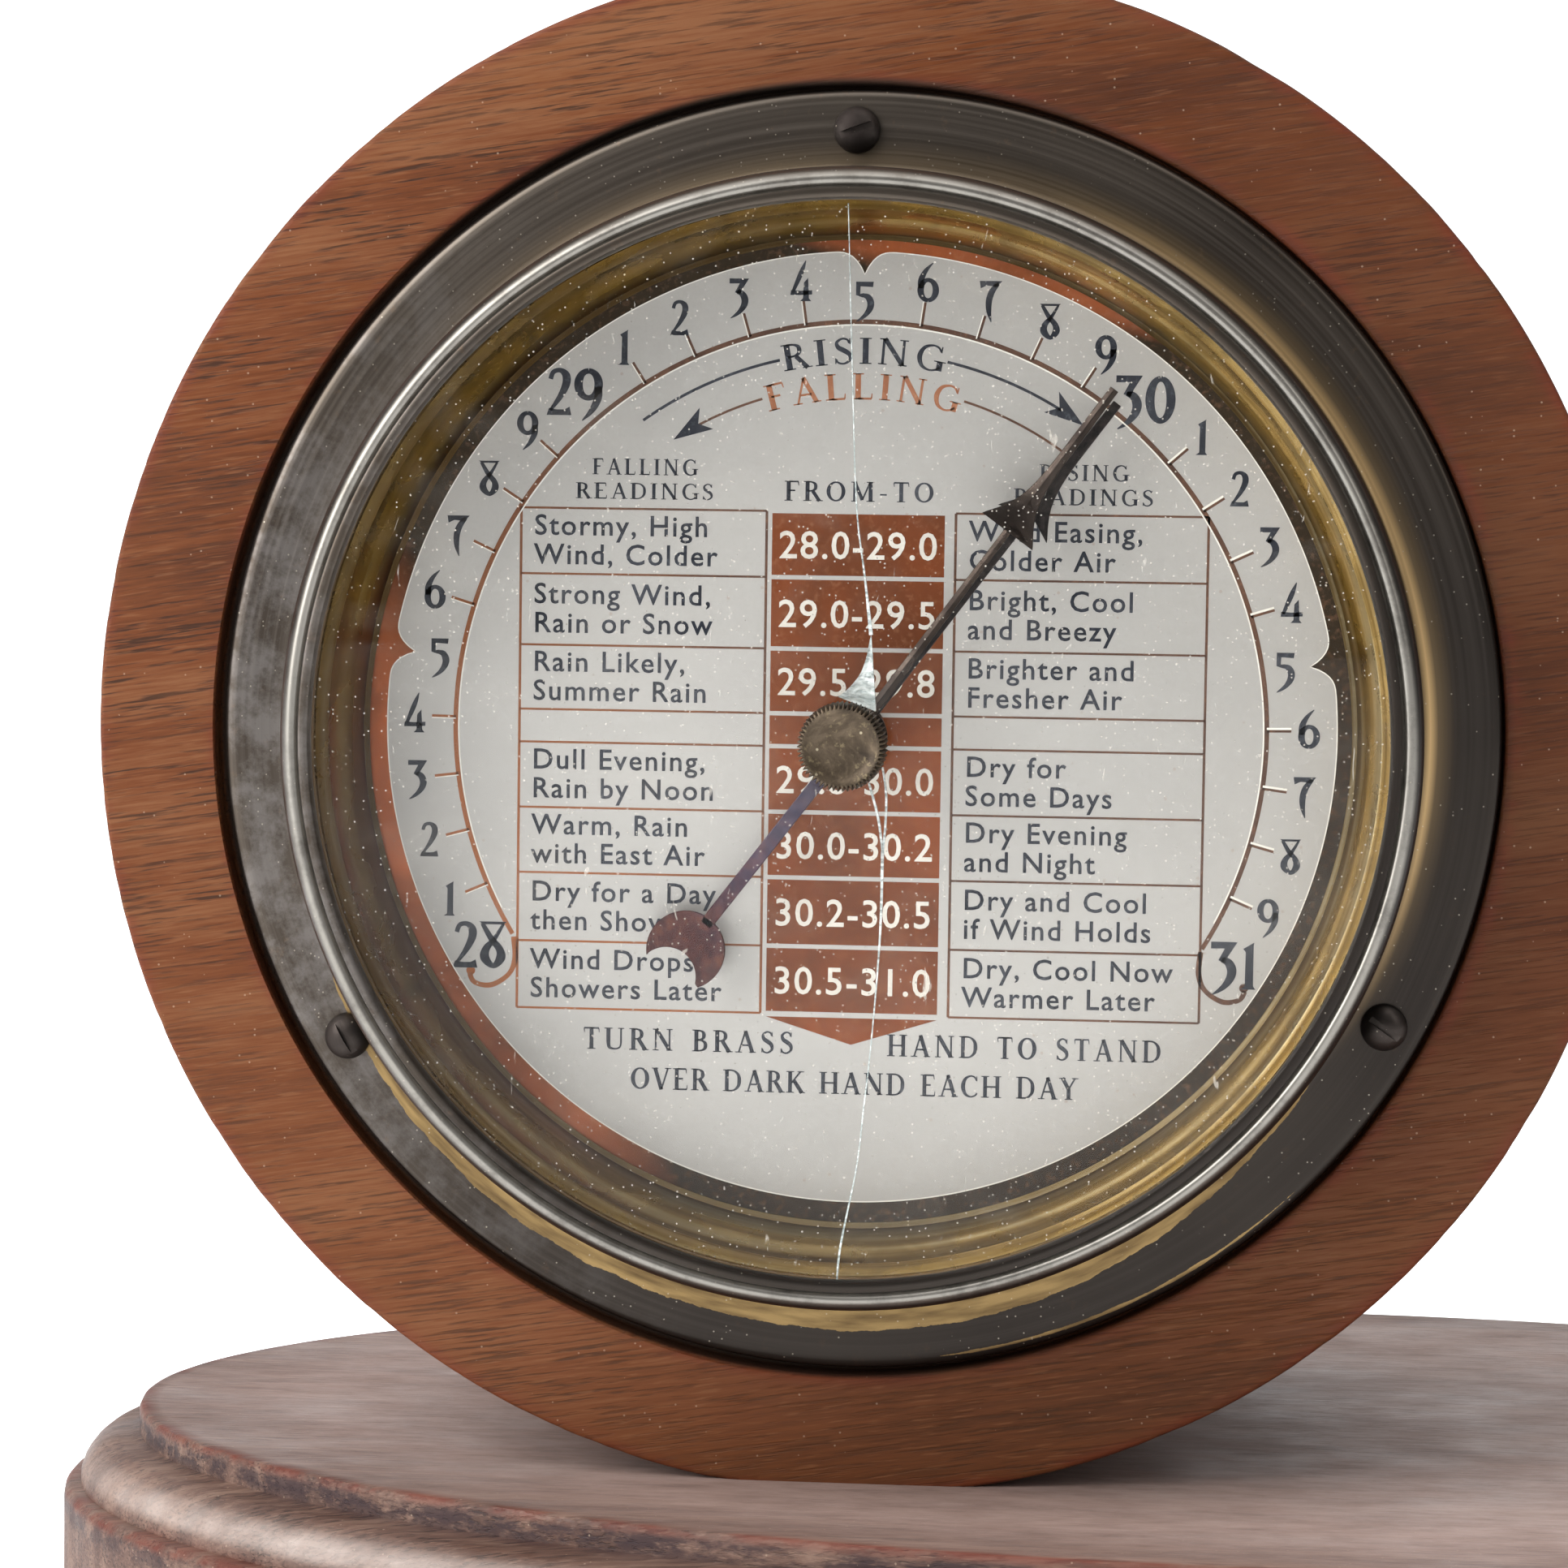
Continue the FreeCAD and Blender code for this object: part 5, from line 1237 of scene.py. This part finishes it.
def headings(inked):
    """Capitals over the table and two lines of plain advice below it."""
    small, large = 1.45, 2.0
    for text, middle, height, width in (
            ("FALLING", (-19.8, 22.9), small, 9.6), ("READINGS", (-19.8, 20.7), small, 12.6),
            ("RISING", (20.1, 22.9), small, 8.0), ("READINGS", (20.1, 20.7), small, 12.6),
            ("FROM-TO", (-0.2, 20.75), 1.8, 13.6), ("TURN BRASS", (-15.2, -29.8), large, 19.4),
            ("HAND TO STAND", (15.6, -29.8), large, 25.0),
            ("OVER DARK HAND EACH DAY", (0.0, -33.4), large, 41.0)):
        set_capitals(inked, text, middle, height, width)


def make_dial():
    """Silvered field on the coppered plate, with its etched lines, painted highlights beside them, and
    lettering.
    """
    field, hole, count = Print(0.03), 2.5, 720
    angles = [360 * step / count for step in range(count)]
    rims = [clock(angle, silver_outline(angle)) for angle in angles], disc(hole, count)
    field.points = [(u, depth, v) for depth in (field.front, field.back)
                    for rim in rims for u, v in rim]
    for i in range(count):
        a, b, c, d = (row * count + i for row in range(4))
        e, f, g, h = (row * count + (i + 1) % count for row in range(4))
        field.faces += [(a, e, f, b), (c, d, h, g), (a, c, g, e), (b, f, h, d)]
    field.build("silvered_field", silver)

    inked, coppered, grounds = Print(0.05, 0.025), Print(0.048, 0.025), Print(0.04, 0.025)
    # pale holds painted highlights beside the etched lines and along the field's outline
    pale, raised, reddish = Print(0.055, 0.025), Print(0.09, 0.035), Print(0.052, 0.025)
    # painted highlight along the silvered field's outline
    pale.line([clock(angle, silver_outline(angle) - 0.04) for angle in angles], 0.05, True)
    scale_parts(inked, coppered, pale)
    arcs_with_words(inked, coppered, reddish)
    table_parts(inked, coppered, grounds, raised)
    headings(inked)
    inked.build("dial_lettering", dark_ink)
    coppered.build("dial_lines", line_ink)
    reddish.build("copper_lettering", copper_ink)
    grounds.build("copper_cells", copper_ground("copper_cells", (128, 64, 27), (75, 42, 19)))
    # painted highlights beside the etched lines
    pale.build("painted_etch_highlights", painted_highlight_ink)
    raised.build("cell_figures", ink("cell_silver", (206, 200, 190), (240, 236, 228), 0.4, 0.3))


# ------------------------------------------------------------------ hands and knob

def hand_outline(tip, boss_half, barb_at):
    """Right-hand edge of a hand: shaft from its boss, swept-back barb, blunt blade."""
    shaft, barb, blade = 0.34, 2.8, 0.44    # half widths
    edge = [(boss_half, 0), (shaft, barb_at + 0.55)]
    for step in range(12):
        along = 7.5 * (step / 11) ** 1.3
        swept = (barb - blade) * math.exp(-(along / 2.4) ** 1.25)
        edge.append((blade + swept, barb_at - 0.5 + along))
    return edge + [(blade * 0.95, tip)]


def place_hand(points, angle):
    """Points of a hand drawn pointing up, turned to its angle at rest."""
    flat = turned([(u, v) for u, w, v in points], angle)
    return [(u, w, v) for (u, v), (_, w, _) in zip(flat, points)]


def make_pointer():
    """Blued pointer: barbed head, boss, and a rusty crescent on its tail."""
    front, back = round_size("pointer")[1:]
    at_rest, blade_front = 37.4, back - 0.6
    right = hand_outline(tip=38.1, boss_half=0.52, barb_at=24.9)
    points, faces = [], []
    add_prism(points, faces, right + [(-x, y) for x, y in reversed(right)], blade_front, back)
    add_prism(points, faces, [(-0.62, 0.5), (-0.62, -21.9), (0.62, -21.9), (0.62, 0.5)],
              blade_front, back)
    centre, outer, bite, bite_shift = -24.8, 3.6, 2.7, 3.0
    horns = math.radians(-136), math.radians(124)
    crescent = []
    for step in range(33):
        turn = mix(*horns, step / 32)
        crescent.append((outer * math.sin(turn), centre + outer * math.cos(turn)))
    reach = [math.atan2(outer * math.sin(turn), outer * math.cos(turn) + bite_shift)
             for turn in horns]
    for step in range(1, 24):
        turn = mix(reach[1], reach[0], step / 24)
        crescent.append((bite * math.sin(turn) + 0.1, centre - bite_shift + bite * math.cos(turn)))
    add_prism(points, faces, crescent, blade_front, back)
    add_prism(points, faces, disc(3.0, 48), blade_front, back)
    add_prism(points, faces, disc(2.0, 40), front, blade_front)
    pointer = piece("dark_pointer", (place_hand(points, at_rest), faces), "blued_steel",
                    ("pointer",), 25, "pointer_group")
    soften(pointer, 0.08)
    away = Vector(clock(at_rest, 1.0))
    mark(pointer, bare=lambda u, w, v: ease(-(u * away.x + v * away.y), 2.5, 5.0),
         rust=lambda u, w, v: ease(-(u * away.x + v * away.y), 19.5, 21.8))


def make_set_hand():
    """Brass hand with a raised ridge down its middle."""
    front, back = round_size("set_hand")[1:]
    at_rest, edge_front = 36.1, front + 0.28
    outline = hand_outline(tip=38.9, boss_half=0.50, barb_at=23.7)
    count = len(outline)
    points, faces = [], []
    for x, y in outline:
        points += [(-x, edge_front, y), (0, front, y), (x, edge_front, y), (x, back, y),
                   (-x, back, y)]
    for row in range(count - 1):
        faces += band(row * 5, row * 5 + 5, 5)
    faces.append((4, 3, 2, 1, 0))
    faces.append(tuple(range((count - 1) * 5, count * 5)))
    add_prism(points, faces, disc(3.0, 48), front + 0.05, back)
    soften(piece("brass_set_hand", (place_hand(points, at_rest), faces), "aged_brass",
                 ("set_hand",), 20, "set_hand_group"), 0.05)


def make_knob():
    """Knurled knob with a shallow dished and pitted face."""
    teeth, depth = 58, 0.2
    rim, front, back = KNOB_RADIUS, KNOB_FRONT, KNOB_BACK
    profile = [(0, front + 0.62), (0.5, front + 0.6), (1.5, front + 0.55), (2.4, front + 0.42),
               (rim - 1.0, front + 0.25), (rim - 0.72, front + 0.04), (rim - 0.5, front),
               (rim - 0.22, front + 0.06), (rim - 0.02, front + 0.3), (rim, front + 0.6),
               (rim, back - 0.5), (rim - 0.3, back - 0.1), (rim - 0.6, back), (0, back)]

    def knurled(radius, w, turn):
        grip = ease(radius, rim - 0.5, rim - 0.1)
        return radius - grip * depth * (0.5 + 0.5 * math.cos(turn * teeth)) * 2

    piece("knurled_knob", lathe(profile, teeth * 8, knurled), "aged_brass", ("set_knob",), 50,
          "set_hand_group", materials["knob_brass"])


# ------------------------------------------------------------------ the CAD pieces that stay

def dress_frame():
    """Gives every CAD node the material that its slot in the record names."""
    slots = {part["node"]: part["material_slot"] for part in frame["record"]["subparts"]}
    for node, thing in frame["nodes"].items():
        thing.data.materials.clear()
        thing.data.materials.append(materials[slots[node]])
    for node, width in (("back_cover", 0.3), ("back_cover_screws", 0.2), ("glass_bush", 0.12)):
        soften(frame["nodes"][node], width)


# ------------------------------------------------------------------ set, lights and camera

def make_floor():
    """Pale floor that curves up behind the object."""
    look = Look("pale_floor", 0.9, specular=0.1)
    look.set(look.shader, {"Emission Color": (0.96, 0.98, 1.0, 1), "Emission Strength": 0.7})
    tone = look.ramp(look.noise(6, 3, 0.5), (0.3, (0.86, 0.87, 0.88, 1)),
                     (0.7, (0.90, 0.91, 0.92, 1)))
    side, depth_front, depth_back, height, bend = 4.0, -2.5, 1.6, 3.0, 1.0
    section = [(depth_front, 0.0)]
    for step in range(17):
        turn = math.radians(90 * step / 16)
        section.append((depth_back + bend * math.sin(turn), bend * (1 - math.cos(turn))))
    section.append((depth_back + bend, height))
    verts = [(x, y, z) for y, z in section for x in (-side, side)]
    faces = [(2 * i, 2 * i + 1, 2 * i + 3, 2 * i + 2) for i in range(len(section) - 1)]
    mesh = bpy.data.meshes.new("floor")
    mesh.from_pydata(verts, [], faces)
    mesh.shade_smooth()
    mesh.materials.append(look.done(tone))
    floor = new_object("floor", mesh)


def add_light(name, place, size, power, tint=(1, 1, 1)):
    """Soft lamp of (width, height), aimed at the dial."""
    lamp = bpy.data.lights.new(name, "AREA")
    lamp.shape, lamp.size, lamp.size_y = "RECTANGLE", *size
    lamp.energy, lamp.color = power, tint
    holder = new_object(name, lamp)
    holder.location = place
    holder.rotation_euler = (CENTRE - Vector(place)).to_track_quat("-Z", "Y").to_euler()


def make_lights():
    world = bpy.data.worlds.new("soft_studio")
    world.use_nodes = True
    sky = world.node_tree.nodes["Background"].inputs
    sky["Color"].default_value, sky["Strength"].default_value = (1.0, 0.99, 0.98, 1), 0.15
    bpy.context.scene.world = world
    add_light("window_left", (-0.95, -0.75, 0.75), (1.0, 1.2), 21)
    add_light("left_wall", (-2.0, -1.0, 0.9), (1.8, 1.8), 26)
    add_light("top_soft", (-0.05, -0.15, 1.25), (1.6, 1.2), 13)
    add_light("right_fill", (0.95, -0.60, 0.70), (0.3, 0.8), 2.2, (1, 0.98, 0.96))


def make_camera():
    """Camera in front of the dial, a little to the right, tilted down and rolled."""
    yaw, pitch, roll = (math.radians(a) for a in (-4.84, -3.99, 0.79))
    place = Vector((27.7, -404.4, 23.7))
    ahead = Vector((math.sin(yaw) * math.cos(pitch), math.cos(yaw) * math.cos(pitch),
                    math.sin(pitch)))
    level = Vector((math.cos(yaw), -math.sin(yaw), 0))
    upward = level.cross(ahead)
    right = math.cos(roll) * level + math.sin(roll) * upward
    top = -math.sin(roll) * level + math.cos(roll) * upward
    data = bpy.data.cameras.new("camera")
    data.lens, data.sensor_width = 102.5, 36.0
    data.clip_start = 0.02
    camera = new_object("camera", data)
    matrix = Matrix((right, top, -ahead)).transposed().to_4x4()
    matrix.translation = CENTRE + place * MM
    camera.matrix_world = matrix
    bpy.context.scene.camera = camera


dress_frame()
make_drum()
make_base()
make_bezel()
make_bezel_screws()
make_glass()
make_surround()
make_dial()
make_pointer()
make_set_hand()
make_knob()
make_floor()
make_lights()
make_camera()
bpy.context.scene.view_settings.view_transform = "Standard"
